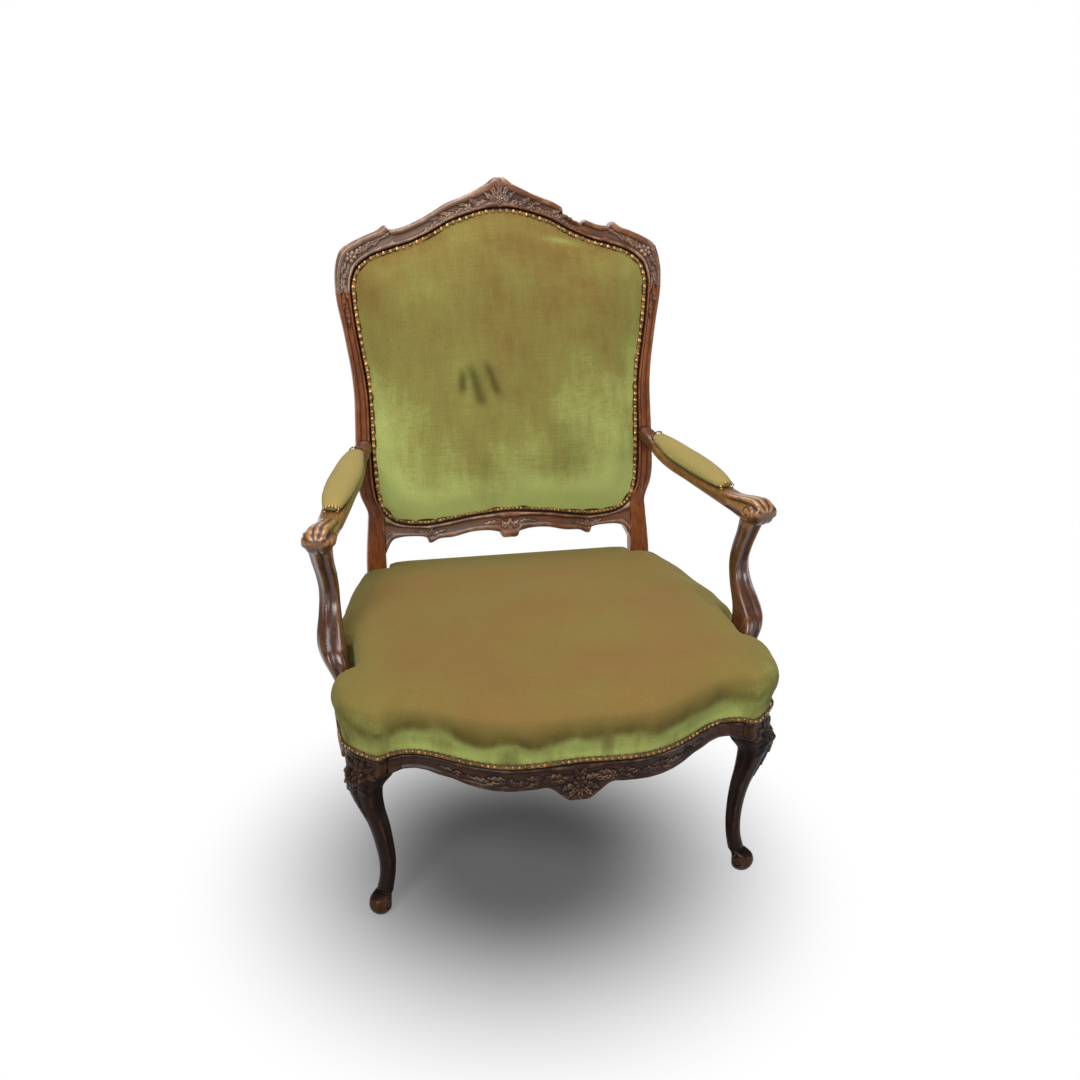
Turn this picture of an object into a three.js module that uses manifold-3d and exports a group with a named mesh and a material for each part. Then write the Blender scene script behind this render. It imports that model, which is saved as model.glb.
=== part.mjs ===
// An open-armed easy chair in the French cabriole style: a carved walnut frame on curved legs, a
// sprung seat, a padded back and padded arms, covered in velvet and closed with braid and nails.
// Millimetres. +X is the sitter's left, +Y the back, +Z up. The floor is z = 0.
import * as THREE from "three";
import { mergeVertices } from "three/addons/utils/BufferGeometryUtils.js";
import Module from "manifold-3d";

const wasm = await Module();
wasm.setup();

// Overall sizes
const SEAT_HALF_WIDTH = 349;
const SEAT_REAR_HALF_WIDTH = 277;
const SEAT_DEPTH = 520;
const FRONT_BOW = 66;
const RAIL_TOP = 322;
const BACK_HEIGHT = 756;
const BACK_HALF_WIDTH = 304;
const BACK_WAIST_HALF_WIDTH = 281;
const RECLINE = THREE.MathUtils.degToRad(10.8);
const ARM_HEIGHT = 575;

// Timber
const RAIL_HEIGHT = 60;
const RAIL_THICKNESS = 34;
const RAIL_MOULDING = 5;
const LEG_BLOCK = 62;
const SIDE_SWELL = 4;
const BACK_THICKNESS = 34;
const STILE_INNER = 238;
const REAR_LEG_DEPTH = 34;
const REAR_FOOT_KICK = 85;
const REAR_RAIL_THICKNESS = 25;
const REAR_RAIL_SETBACK = 3;
const stileFront = SEAT_DEPTH + 0.9;
const APRON_DROP = 36;
const ARM_WIDTH = 45;
const TENON_THICKNESS = 10;
const TENON_LENGTH = 24;
const TENON_HEIGHT = 36;
const BRACE_LEG = 62;
const BRACE_HEIGHT = 30;

// Upholstery
const GAP = 0.3;
const SHOULDER_GAP = 0.8;
const CLOTH = 2.5;
const LEDGE_DEPTH = 8;
const LEDGE_INSIDE = 12;
const LEDGE_OUTSIDE = 6;
const REAR_REBATE = 4;
const SKIRT_BOTTOM = 292;
const NAIL_LINE = 298;
const BRAID_WIDTH = 9;
const BRAID_THICKNESS = 1.5;
const SEAT_CROWN = 90;
const HESSIAN = 1;
const SPRING_DECK = 36;
const WEB_WIDTH = 50;
const WEB_THICKNESS = 1.2;
const SPRING_WIRE = 3.6;
const SPRING_RADIUS = 36;
const SPRING_WAIST = 23;
const SPRING_TURNS = 4;
const BACK_CROWN = 24;
const PAD_CROWN = 22;

const walnut = new THREE.MeshStandardMaterial({ color: 0x4a2c1a, roughness: 0.42, metalness: 0 });
const velvet = new THREE.MeshStandardMaterial({ color: 0x8d8540, roughness: 0.9, metalness: 0 });
const braid = new THREE.MeshStandardMaterial({ color: 0x8a6534, roughness: 0.8, metalness: 0 });
const jute = new THREE.MeshStandardMaterial({ color: 0xa08358, roughness: 0.95, metalness: 0 });
const hair = new THREE.MeshStandardMaterial({ color: 0x4b3f33, roughness: 1, metalness: 0 });
const steel = new THREE.MeshStandardMaterial({ color: 0x77706a, roughness: 0.45, metalness: 1 });

// Small maths
const mix = (a, b, t) => a + (b - a) * t;
const vec = (x, y, z) => new THREE.Vector3(x, y, z);

// Value at t of a table of [t, ...values] rows, in straight runs between rows.
function tabled(rows, t) {
  if (t <= rows[0][0]) return rows[0].slice(1);
  for (let i = 1; i < rows.length; i++) {
    if (t > rows[i][0]) continue;
    const k = (t - rows[i - 1][0]) / (rows[i][0] - rows[i - 1][0]);
    return rows[i].slice(1).map((v, j) => mix(rows[i - 1][j + 1], v, k));
  }
  return rows[rows.length - 1].slice(1);
}

// A smooth run of `count` points through a few [x, y] points.
function smooth(points, count) {
  const curve = new THREE.SplineCurve(points.map(([x, y]) => new THREE.Vector2(x, y)));
  return curve.getSpacedPoints(count).map((p) => [p.x, p.y]);
}

// Solids
function geometryFrom(positions, faces) {
  const geometry = new THREE.BufferGeometry();
  geometry.setAttribute("position", new THREE.Float32BufferAttribute(positions, 3));
  geometry.setIndex(faces);
  let sixVolumes = 0;
  const corner = (i) => vec().fromBufferAttribute(geometry.getAttribute("position"), i);
  for (let i = 0; i < faces.length; i += 3) {
    sixVolumes += corner(faces[i]).dot(corner(faces[i + 1]).cross(corner(faces[i + 2])));
  }
  if (sixVolumes < 0) {
    for (let i = 0; i < faces.length; i += 3) [faces[i + 1], faces[i + 2]] = [faces[i + 2], faces[i + 1]];
    geometry.setIndex(faces);
  }
  return geometry;
}

// Triangles of a flat ring of points in space.
function capFaces(ring) {
  const normal = vec(0, 0, 0);
  ring.forEach((p, i) => {
    const q = ring[(i + 1) % ring.length];
    normal.add(vec((p.y - q.y) * (p.z + q.z), (p.z - q.z) * (p.x + q.x), (p.x - q.x) * (p.y + q.y)));
  });
  normal.normalize();
  const side = vec(normal.y, normal.z, normal.x).cross(normal).normalize();
  const up = normal.clone().cross(side);
  const flat = ring.map((p) => new THREE.Vector2(p.dot(side), p.dot(up)));
  return THREE.ShapeUtils.triangulateShape(flat, []);
}

// A closed skin over rings of equally many points. A ring of one point closes to a tip.
function loft(rings, closed = false) {
  const positions = [];
  const starts = [];
  for (const ring of rings) {
    starts.push(positions.length / 3);
    ring.forEach((p) => positions.push(p.x, p.y, p.z));
  }
  const faces = [];
  const spans = closed ? rings.length : rings.length - 1;
  for (let r = 0; r < spans; r++) {
    const next = (r + 1) % rings.length;
    const [a, b] = [rings[r], rings[next]];
    const count = Math.max(a.length, b.length);
    for (let i = 0; i < count; i++) {
      const j = (i + 1) % count;
      const [a0, a1] = [starts[r] + (i % a.length), starts[r] + (j % a.length)];
      const [b0, b1] = [starts[next] + (i % b.length), starts[next] + (j % b.length)];
      if (a.length > 1) faces.push(a0, a1, b1);
      if (b.length > 1) faces.push(a0, b1, b0);
    }
  }
  if (!closed) {
    const last = rings.length - 1;
    if (rings[0].length > 1) {
      for (const [a, b, c] of capFaces(rings[0])) faces.push(starts[0] + a, starts[0] + c, starts[0] + b);
    }
    if (rings[last].length > 1) {
      const start = starts[last];
      for (const [a, b, c] of capFaces(rings[last])) faces.push(start + a, start + b, start + c);
    }
  }
  return geometryFrom(positions, faces);
}

function solid(geometry) {
  const bare = geometry.clone();
  bare.deleteAttribute("normal");
  bare.deleteAttribute("uv");
  const merged = mergeVertices(bare, 1e-4);
  return new wasm.Manifold(
    new wasm.Mesh({
      numProp: 3,
      vertProperties: new Float32Array(merged.getAttribute("position").array),
      triVerts: new Uint32Array(merged.getIndex().array),
    }),
  );
}

function geometryOf(made) {
  const mesh = made.getMesh();
  const geometry = new THREE.BufferGeometry();
  geometry.setAttribute("position", new THREE.Float32BufferAttribute(Array.from(mesh.vertProperties), 3));
  geometry.setIndex(Array.from(mesh.triVerts));
  return geometry;
}

// A block between two opposite corners, grown by `extra` on every side.
function block(low, high, extra = 0) {
  const size = high.map((h, i) => h - low[i] + 2 * extra);
  const middle = high.map((h, i) => (h + low[i]) / 2);
  return solid(new THREE.BoxGeometry(...size).translate(...middle));
}

const leaning = (made) => made.transform(backMatrix.toArray());
const mirrored = (made) => made.mirror([1, 0, 0]);

// Plan of the seat, right half, along the outer face of the rails
const FRONT_HALF = SEAT_HALF_WIDTH - SIDE_SWELL - LEG_BLOCK;
const frontPlan = smooth(
  [[0, -0.94], [0.21, -1], [0.36, -0.98], [0.48, -0.83], [0.59, -0.58], [0.68, -0.32], [0.77, -0.07],
    [0.86, 0.09], [0.94, 0.12], [1, 0.05]].map(([x, y]) => [x * FRONT_HALF, y * FRONT_BOW]),
  14,
);
const cornerPlan = smooth(
  [[0, 0.05 * FRONT_BOW], [15, -5], [31, 8], [47, 25], [59, 43], [LEG_BLOCK, LEG_BLOCK]]
    .map(([x, y]) => [FRONT_HALF + x, y]),
  6,
);
const cornerTaper = SIDE_SWELL / (SEAT_HALF_WIDTH - SEAT_REAR_HALF_WIDTH);
const sidePlan = smooth(
  [[0, cornerTaper], [0.13, 0], [0.26, 0.014], [0.41, 0.125], [0.585, 0.32], [0.74, 0.54], [0.87, 0.76],
    [1, 1]]
    .map(([along, taper]) => [
      mix(SEAT_HALF_WIDTH, SEAT_REAR_HALF_WIDTH, taper),
      mix(LEG_BLOCK, SEAT_DEPTH, along),
    ]),
  9,
);
const frontFace = (x) => tabled(frontPlan, Math.abs(x))[0];
const sideRows = sidePlan.map(([x, y]) => [y, x]);
const sideFace = (y) => tabled(sideRows, y)[0];
const legInnerY = frontFace(FRONT_HALF) + RAIL_THICKNESS + 2.7;

// Back plane: x across, s up the back from the rail top, w out towards the sitter
const backOrigin = [0, SEAT_DEPTH + 1.3, RAIL_TOP];
const backMatrix = new THREE.Matrix4()
  .makeTranslation(...backOrigin)
  .multiply(new THREE.Matrix4().makeRotationX(-RECLINE));
const onBack = (x, s, w) => vec(x, -w, s).applyMatrix4(backMatrix);
const backLevel = (z) => (z - RAIL_TOP) / Math.cos(RECLINE);

// Outlines up the back. Heights are drawn for a back 756 high, 304 wide at the shoulder.
const UP = BACK_HEIGHT / 756;
const nailSide = [[132, 190], [140, 215], [150, 230], [168, 241], [200, 247], [260, 250], [385, 251],
  [450, 259], [500, 266], [560, 271]];
const outerSide = [[0, 276], [64, 274], [136, 268], [150, 267], [190, 280], [270, 283], [330, 281],
  [373, 280], [421, 283], [459, 288], [500, 294], [540, 301], [560, 303]];
// Shoulder widths grow with the shoulder, waist widths with the waist.
function acrossBack(x, s) {
  const top = THREE.MathUtils.smoothstep(s, 380, 540);
  return x + mix(BACK_WAIST_HALF_WIDTH - 281, BACK_HALF_WIDTH - 304, top) * Math.min(1, x / 200);
}
const CREST_JOINT = 560 * UP;
const sideAt = (rows, s) => acrossBack(tabled(rows, s / UP)[0], s / UP);

// Crest: [nail x, nail s, outer x, outer s] from the shoulder joint to the middle
const crestHalf = [[271, 560, 303, 560], [269, 580, 303, 590], [262, 598, 298, 618], [250, 610, 289, 636],
  [232, 621, 270, 648], [212, 628, 243, 660], [200, 631, 225, 667], [191, 634, 211, 676],
  [182, 636, 202, 669], [160, 643, 180, 672], [134, 654, 150, 684], [113, 665, 122, 699],
  [93, 676, 98, 713], [68, 685, 74, 722], [40, 693, 46, 734], [21, 697, 24, 746], [9, 698, 10, 756],
  [0, 698, 0, 756]].map(([a, b, c, d]) => [acrossBack(a, b), b * UP, acrossBack(c, d), d * UP]);
// The chip that is missing from the crest's top bead, on the sitter's left: x from, x to, depth
const CHIP = [117, 157, 9];

// Lower rail of the back: [x, nail s, lower edge s]
const lowerHalf = [[0, 149, 92], [14, 148.7, 93], [21, 148, 104], [45, 146, 108], [75, 143, 107],
  [107, 138, 100], [135, 134, 98], [148, 132.5, 92], [156, 132, 92], [163, 131.5, 103],
  [195, 134.5, 106], [215, 140, 104], [226, 147, 98], [237.7, 158, 76]];
const lowerStretch = acrossBack(STILE_INNER, 160) / STILE_INNER;

// Ring of a moulded back member. `at(u, w)` places u from the opening outwards and w out of the plane.
function mouldedRing(inner, nailEdge, outer, moulding, at, rounding = 5) {
  const span = (t) => mix(nailEdge, outer, t);
  const across = (t) => mix(inner, outer, t);
  const carved = [[inner, -2], [nailEdge, -2], [span(0.16), 0], [span(0.36), -3], [span(0.58), -3],
    [span(0.74), 1.5], [span(0.9), 1.2], [outer, -6], [outer, rounding - BACK_THICKNESS],
    [outer - rounding, -BACK_THICKNESS], [inner + 1, -BACK_THICKNESS], [inner, 1 - BACK_THICKNESS]];
  const plain = [[inner, -6], [inner + 5, 0], [across(0.3), 0], [across(0.42), 0], [across(0.58), 0],
    [across(0.7), 0], [outer - 4, 0], [outer, -5], [outer, rounding - BACK_THICKNESS],
    [outer - rounding, -BACK_THICKNESS], [inner + rounding, -BACK_THICKNESS],
    [inner, rounding - BACK_THICKNESS]];
  return carved.map(([u, w], i) => at(mix(plain[i][0], u, moulding), mix(plain[i][1], w, moulding)));
}

// Rear legs: foot and back stile sawn from one plank
function rearLegRings() {
  const kick = REAR_FOOT_KICK;
  const foot = [[0, kick, 232, 262, 30], [10, kick - 2, 231, 263, 31], [30, kick - 13, 233, 262, 28],
    [60, kick - 27, 235, 262, 26], [100, kick - 47, 236, 264, 27], [150, kick - 67, 237, 268, 29],
    [205, kick - 80, 237.6, 272, 31], [RAIL_TOP - RAIL_HEIGHT - 12, 0, 238, 275, REAR_LEG_DEPTH],
    [RAIL_TOP - 24, 0, 238, 276, REAR_LEG_DEPTH]];
  const shift = SEAT_REAR_HALF_WIDTH - 277;
  const rings = foot.map(([z, back, inner, outer, depth]) =>
    mouldedRing(inner, inner, outer, 0, (u, w) =>
      vec(u + mix(shift * 0.9, shift, z / RAIL_TOP), stileFront + back - (w * depth) / BACK_THICKNESS, z)));
  for (const s of [10, 64, 136, 150, 177, 190, 230, 270, 330, 385, 421, 459, 500, 530, 560]) {
    const up = s * UP;
    const moulding = THREE.MathUtils.smoothstep(s, 128, 190);
    const nail = sideAt(nailSide, up);
    const inner = s < 180 ? acrossBack(STILE_INNER, s) : nail - LEDGE_INSIDE - 2;
    const seatShift = shift * (1 - THREE.MathUtils.smoothstep(s, 0, 60));
    const height = s === 560 ? CREST_JOINT - GAP : up;
    rings.push(mouldedRing(inner, nail + LEDGE_OUTSIDE, sideAt(outerSide, up), moulding, (u, w) =>
      onBack(u + seatShift, height, w)));
  }
  return rings;
}

// Crest rail
function crestStations() {
  const left = crestHalf.map(([a, b, c, d]) => [-a, b, -c, d]);
  const right = crestHalf.slice(0, -1).reverse();
  return [...left, ...right];
}

function frameRing([nx, ns, ox, os], at) {
  const across = new THREE.Vector2(ox - nx, os - ns);
  const length = across.length();
  across.normalize();
  return mouldedRing(-LEDGE_INSIDE - 2, LEDGE_OUTSIDE, length, 1, (u, w) =>
    at(nx + across.x * u, ns + across.y * u, w));
}

const inPlane = (x, s, w) => vec(x, -w, s);

function crestRail() {
  let rail = solid(loft(crestStations().map((station) => frameRing(station, inPlane))));
  const [from, to, depth] = CHIP;
  const top = (x) => tabled([...crestHalf].reverse().map(([, , ox, os]) => [ox, os]), x)[0];
  const chipShape = new THREE.Shape([
    new THREE.Vector2(from, top(from) - depth), new THREE.Vector2(to, top(to) - depth),
    new THREE.Vector2(to + 1, top(to) + 8), new THREE.Vector2(from - 1, top(from) + 8),
  ]);
  const chip = new THREE.ExtrudeGeometry(chipShape, { depth: 12, bevelEnabled: false, steps: 1 })
    .rotateX(Math.PI / 2).translate(0, 7, 0);
  rail = rail.subtract(solid(chip));
  return rail;
}

function lowerBackRail() {
  const half = lowerHalf.map(([x, nail, edge]) => [x * lowerStretch, nail * UP, edge * UP]);
  const stations = [...half.map(([x, n, e]) => [-x, n, e]).reverse(), ...half.slice(1)];
  const rings = stations.map(([x, nail, edge]) =>
    mouldedRing(-LEDGE_INSIDE - 2, LEDGE_OUTSIDE, nail - edge, 1, (u, w) => inPlane(x, nail - u, w)));
  return solid(loft(rings));
}

// Panel outline of the back, right half from the bottom middle to the top middle
const lowerNail = (x) => tabled(lowerHalf.map(([at, nail]) => [at * lowerStretch, nail * UP]), x)[0];
const crestNail = (x) => tabled([...crestHalf].reverse(), x)[0];
const backHalf = [
  ...lowerHalf.filter(([x]) => x < 220 && x !== 14 && x !== 156)
    .map(([x, nail]) => [x * lowerStretch, nail * UP]),
  ...nailSide.filter(([s]) => s > 145).map(([s, x]) => [acrossBack(x, s), s * UP]),
  ...crestHalf.slice(1).map(([nx, ns]) => [nx, ns]).filter((_, i) => i !== 5 && i !== 15),
];
const BACK_CENTRE = [0, 420 * UP];

function backRing([inset, inward, w], half) {
  const outline = [...half, ...half.slice(1, -1).map(([x, s]) => [-x, s]).reverse()];
  return outline.map(([x, s], i) => {
    const [px, ps] = outline[(i + outline.length - 1) % outline.length];
    const [qx, qs] = outline[(i + 1) % outline.length];
    const normal = new THREE.Vector2(qs - ps, px - qx).normalize();
    const [ox, os] = [x - normal.x * inset, s - normal.y * inset];
    return inPlane(mix(ox, BACK_CENTRE[0], inward), mix(os, BACK_CENTRE[1], inward), w);
  });
}

// The panel's opening with a rebate on each face
function panelCutter() {
  const slab = (inset, from, to) => solid(loft([from, to].map((w) => backRing([inset, 0, w], backHalf))));
  return slab(LEDGE_INSIDE, -2 * BACK_THICKNESS, BACK_THICKNESS)
    .add(slab(-LEDGE_OUTSIDE, -LEDGE_DEPTH, BACK_THICKNESS))
    .add(slab(-LEDGE_OUTSIDE, -2 * BACK_THICKNESS, REAR_REBATE - BACK_THICKNESS));
}

// Ring of a superellipse in a plane with axes `side` and `up`
function roundRing(centre, side, up, halfSide, halfUp, power, count, turn = 0) {
  return Array.from({ length: count }, (_, i) => {
    const angle = (i / count) * Math.PI * 2 + turn;
    const [c, s] = [Math.cos(angle), Math.sin(angle)];
    const reach = (Math.abs(c) ** power + Math.abs(s) ** power) ** (-1 / power);
    return centre.clone().addScaledVector(side, c * reach * halfSide).addScaledVector(up, s * reach * halfUp);
  });
}

// Front leg: a square block at the rails, a swelling knee, a slim ankle and a scrolled toe
function frontLeg() {
  const count = 16;
  const blockPlan = [
    ...cornerPlan,
    [FRONT_HALF + LEG_BLOCK - RAIL_THICKNESS, LEG_BLOCK],
    [FRONT_HALF, legInnerY],
  ];
  const middle = [FRONT_HALF + 28, 32];
  const out = vec(1, -1, 0).normalize();
  const along = vec(1, 1, 0).normalize();
  // Where a ray from the block's middle leaves its plan
  function blockReach(direction) {
    let best = 0;
    blockPlan.forEach(([x0, y0], i) => {
      const [x1, y1] = blockPlan[(i + 1) % blockPlan.length];
      const [ex, ey] = [x1 - x0, y1 - y0];
      const cross = direction.x * ey - direction.y * ex;
      if (Math.abs(cross) < 1e-9) return;
      const t = ((x0 - middle[0]) * ey - (y0 - middle[1]) * ex) / cross;
      const k = ((x0 - middle[0]) * direction.y - (y0 - middle[1]) * direction.x) / cross;
      if (t > 0 && k >= -1e-9 && k <= 1 + 1e-9) best = Math.max(best, t);
    });
    return best;
  }
  const blockRing = (z, swell) => Array.from({ length: count }, (_, i) => {
    const angle = (i / count) * Math.PI * 2;
    const direction = out.clone().multiplyScalar(Math.cos(angle)).addScaledVector(along, Math.sin(angle));
    const outward = Math.max(0, Math.cos(angle));
    const reach = blockReach(direction) + swell * outward;
    return vec(middle[0] + direction.x * reach, middle[1] + direction.y * reach, z);
  });
  const railBottom = RAIL_TOP - RAIL_HEIGHT;
  // [height, across, back, half size outwards, half size across, squareness], from the block's middle
  const knee = [[railBottom - 14, 8, -1, 27, 25, 3], [railBottom - 36, 7, 4, 25, 24, 2.6],
    [railBottom - 60, 4, 8, 22, 21, 2.4], [railBottom - 84, -2, 9, 18.5, 18, 2.3],
    [railBottom - 112, -11, 7, 15.5, 15.5, 2.2], [railBottom - 145, -18, 3, 13.5, 13.5, 2.1],
    [railBottom - 178, -22, -4, 12.5, 12.5, 2], [60, -21, -8, 12.5, 12.5, 2], [40, -17, -11, 13.5, 13, 2]];
  const rings = [blockRing(RAIL_TOP, -0.4), blockRing(SKIRT_BOTTOM - GAP, -0.4),
    blockRing(SKIRT_BOTTOM - 2, RAIL_MOULDING), blockRing(railBottom + 3, RAIL_MOULDING)];
  for (const [z, across, back, halfOut, halfAlong, power] of knee) {
    const centre = vec(middle[0] + across, middle[1] + back, z);
    rings.push(roundRing(centre, out, along, halfOut, halfAlong, power, count));
  }
  // The toe rolls forward and up round its own scroll: [outwards, height, turn, half sizes]
  const ankle = vec(middle[0] - 17, middle[1] - 11, 0);
  const toe = [[0, 24, 105, 13.5, 13.5], [4, 15, 135, 13.5, 14], [11, 10.5, 175, 12.5, 14.5],
    [19, 13.5, 225, 10.5, 14.5], [22, 21, 270, 8, 13.5], [19, 27, 305, 5, 12]];
  for (const [reach, z, turn, halfOut, halfAlong] of toe) {
    const angle = THREE.MathUtils.degToRad(turn);
    const side = out.clone().multiplyScalar(Math.sin(angle)).addScaledVector(vec(0, 0, 1), -Math.cos(angle));
    const centre = ankle.clone().setZ(z).addScaledVector(out, reach);
    rings.push(roundRing(centre, side, along, halfOut, halfAlong, 2, count));
  }
  return solid(loft(rings)).subtract(block([0, -400, -60], [900, 900, 0]));
}

// Front rail: bowed in plan, its lower edge cut to a shell and two lobes
const apronHalf = [[0, 1], [0.06, 0.94], [0.11, 0.6], [0.16, 0.25], [0.25, 0.2], [0.36, 0.22], [0.45, 0.22],
  [0.52, 0.19], [0.6, 0.1], [0.66, 0.0], [0.72, -0.02], [0.8, -0.14], [0.88, -0.17], [0.94, -0.06], [1, 0.3]];

// Outer face of a rail, from the top down: [share of the moulded depth below the cloth, out]
const railFace = [[0, 0], [0.04, RAIL_MOULDING - 1], [0.25, RAIL_MOULDING], [0.45, RAIL_MOULDING - 3],
  [0.7, RAIL_MOULDING - 2], [0.85, RAIL_MOULDING], [1, RAIL_MOULDING - 2]];

function frontRail() {
  const bottom = RAIL_TOP - RAIL_HEIGHT;
  const stations = frontPlan.map(([x]) =>
    [Math.min(x, FRONT_HALF - SHOULDER_GAP), bottom - tabled(apronHalf, x / FRONT_HALF)[0] * APRON_DROP]);
  const whole = [...stations.map(([x, z]) => [-x, z]).reverse(), ...stations.slice(1)];
  const rings = whole.map(([x, low]) => {
    const face = frontFace(x);
    const outer = railFace.map(([t, reach]) => [face - reach, mix(SKIRT_BOTTOM, low, t)]);
    const under = Math.max(low, bottom);
    const inner = face + RAIL_THICKNESS;
    return [[face, RAIL_TOP], ...outer, [face + 14, low], [face + 16, under + 0.05], [inner, under + 0.05],
      [inner, RAIL_TOP]].map(([y, z]) => vec(x, y, z));
  });
  return solid(loft(rings));
}

function sideRail() {
  const bottom = RAIL_TOP - RAIL_HEIGHT;
  const rings = sidePlan.map(([, level]) => {
    const y = THREE.MathUtils.clamp(level, LEG_BLOCK + GAP, SEAT_DEPTH - GAP);
    const t = (level - LEG_BLOCK) / (SEAT_DEPTH - LEG_BLOCK);
    const face = sideFace(y);
    const low = bottom + 5 * Math.sin(Math.PI * t);
    const full = t > 0.97 ? 0 : 1;
    const outer = railFace.map(([k, reach]) => [face + reach * full, mix(SKIRT_BOTTOM, low, k)]);
    const inner = face - RAIL_THICKNESS;
    const inside = [[inner + 17, low], [inner + 16, bottom], [inner, bottom], [inner, RAIL_TOP]];
    return [[face, RAIL_TOP], ...outer, ...inside]
      .map(([x, z]) => vec(x, y, z));
  });
  return solid(loft(rings));
}

// Arm: a curved rail under its pad, ending in a knuckle
const stileAtArm = backLevel(ARM_HEIGHT + 20);
// Clears the bead on the stile's face
const ARM_SHOULDER = 2.4;
const armRear = onBack(sideAt(outerSide, stileAtArm) - 15, stileAtArm, 0);
// [share of the run from the stile to the knuckle, share of the outward spread, top, bottom, half width]
const armRun = [[0, 0, 36, 6, 13], [0.035, 0.07, 29, 2, 15], [0.09, 0.18, 19, -5, 18],
  [0.16, 0.26, 13, -12, 21], [0.28, 0.36, 7, -17, 22.5], [0.42, 0.49, 4, -19, 22.5],
  [0.56, 0.61, 2, -21, 22.5], [0.7, 0.72, 1, -24, 20.5],
  [0.8, 0.8, 4, -27, 19], [0.86, 0.85, 10, -29, 19.5], [0.91, 0.9, 14, -29, 21], [0.95, 0.95, 15, -28, 22],
  [0.98, 0.98, 10, -23, 20], [1, 1, 2, -13, 16]];
const ARM_FRONT = vec(SEAT_HALF_WIDTH + 20, 184, ARM_HEIGHT);

function armStation(t, spread) {
  const start = vec(armRear.x, armRear.y - ARM_SHOULDER, 0);
  return vec(mix(start.x, ARM_FRONT.x, spread), mix(start.y, ARM_FRONT.y, t), ARM_HEIGHT);
}
const armTop = (t) => tabled(armRun, t)[1];
const armSpread = (t) => tabled(armRun, t)[0];

function arm() {
  const rings = armRun.map(([t, spread, top, bottom, half], i) => {
    const here = armStation(t, spread);
    const before = armStation(...armRun[Math.max(0, i - 1)]);
    const after = armStation(...armRun[Math.min(armRun.length - 1, i + 1)]);
    const run = after.sub(before).normalize();
    const side = i === 0 ? vec(1, 0, 0) : vec(-run.y, run.x, 0).normalize();
    const up = i === 0 ? vec(0, Math.sin(RECLINE), Math.cos(RECLINE)) : vec(0, 0, 1);
    const centre = here.setZ(ARM_HEIGHT + (top + bottom) / 2);
    return roundRing(centre, side, up, half * ARM_WIDTH / 45, (top - bottom) / 2, 3, 14, Math.PI / 14);
  });
  return solid(loft(rings));
}

// Arm support: stands on the side rail, sweeps back to its waist and out to the knuckle
const SUPPORT_FOOT = 172;
// [share of height, behind the foot's middle, outside the rail's middle, half across, half along]
const supportRun = [[0, 0, 0, 14.5, 32], [0.1, 1, 3, 15, 34], [0.19, 4, 11, 18, 38], [0.26, 11, 18, 21, 42],
  [0.32, 22, 22, 22, 42], [0.38, 42, 22, 19, 32], [0.44, 58, 20, 16.5, 22], [0.52, 70, 19, 15, 17.5],
  [0.63, 75, 19, 14.5, 16], [0.75, 72, 22, 15, 16.5], [0.88, 65, 27, 16, 18], [1, 57, 30, 18, 22]];
const ARM_UNDERSIDE = 29;
const supportBase = RAIL_TOP + GAP;
const supportTop = ARM_HEIGHT - ARM_UNDERSIDE - GAP;

function support() {
  const railMiddle = sideFace(SUPPORT_FOOT) - RAIL_THICKNESS / 2;
  const rings = supportRun.map(([t, back, outside, halfAcross, halfAlong]) =>
    roundRing(vec(railMiddle + outside, SUPPORT_FOOT + back, mix(supportBase, supportTop, t)), vec(1, 0, 0),
      vec(0, 1, 0), halfAcross, halfAlong, 3, 14, Math.PI / 14));
  return solid(loft(rings));
}

// Joints: a tenon on one piece and a clear mortise in the other
const timber = {
  frontLeg: frontLeg(),
  rearLeg: solid(loft(rearLegRings())),
  frontRail: frontRail(),
  sideRail: sideRail(),
  lowerRail: lowerBackRail(),
  crest: crestRail(),
  arm: arm(),
  support: support(),
};
const opening = panelCutter();
timber.rearLeg = timber.rearLeg.subtract(leaning(opening));
timber.lowerRail = timber.lowerRail.subtract(opening);
timber.crest = timber.crest.subtract(opening);

function cutJoint(tenoned, mortised, low, high, place = (made) => made, both = false) {
  const tenon = place(block(low, high));
  const room = place(block(low, high, GAP));
  timber[tenoned] = timber[tenoned].add(tenon);
  timber[mortised] = timber[mortised].subtract(room);
  if (both) timber[tenoned] = timber[tenoned].add(mirrored(tenon));
}

const railMiddle = RAIL_TOP - RAIL_HEIGHT / 2;
const tenonLow = railMiddle - TENON_HEIGHT / 2 - 2;
const tenonHigh = railMiddle + TENON_HEIGHT / 2 - 2;
const frontTenonY = frontFace(FRONT_HALF) + RAIL_THICKNESS / 2;
cutJoint("frontRail", "frontLeg", [FRONT_HALF - 6, frontTenonY - TENON_THICKNESS / 2, tenonLow],
  [FRONT_HALF + TENON_LENGTH, frontTenonY + TENON_THICKNESS / 2, tenonHigh], undefined, true);
const sideTenonX = SEAT_HALF_WIDTH - SIDE_SWELL - RAIL_THICKNESS / 2;
cutJoint("sideRail", "frontLeg", [sideTenonX - TENON_THICKNESS / 2, LEG_BLOCK - TENON_LENGTH, tenonLow],
  [sideTenonX + TENON_THICKNESS / 2, LEG_BLOCK + 6, tenonHigh]);
const rearTenonX = SEAT_REAR_HALF_WIDTH - RAIL_THICKNESS / 2 - 3;
cutJoint("sideRail", "rearLeg", [rearTenonX - TENON_THICKNESS / 2, SEAT_DEPTH - 6, tenonLow],
  [rearTenonX + TENON_THICKNESS / 2, SEAT_DEPTH + TENON_LENGTH - 6, tenonHigh]);

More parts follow.
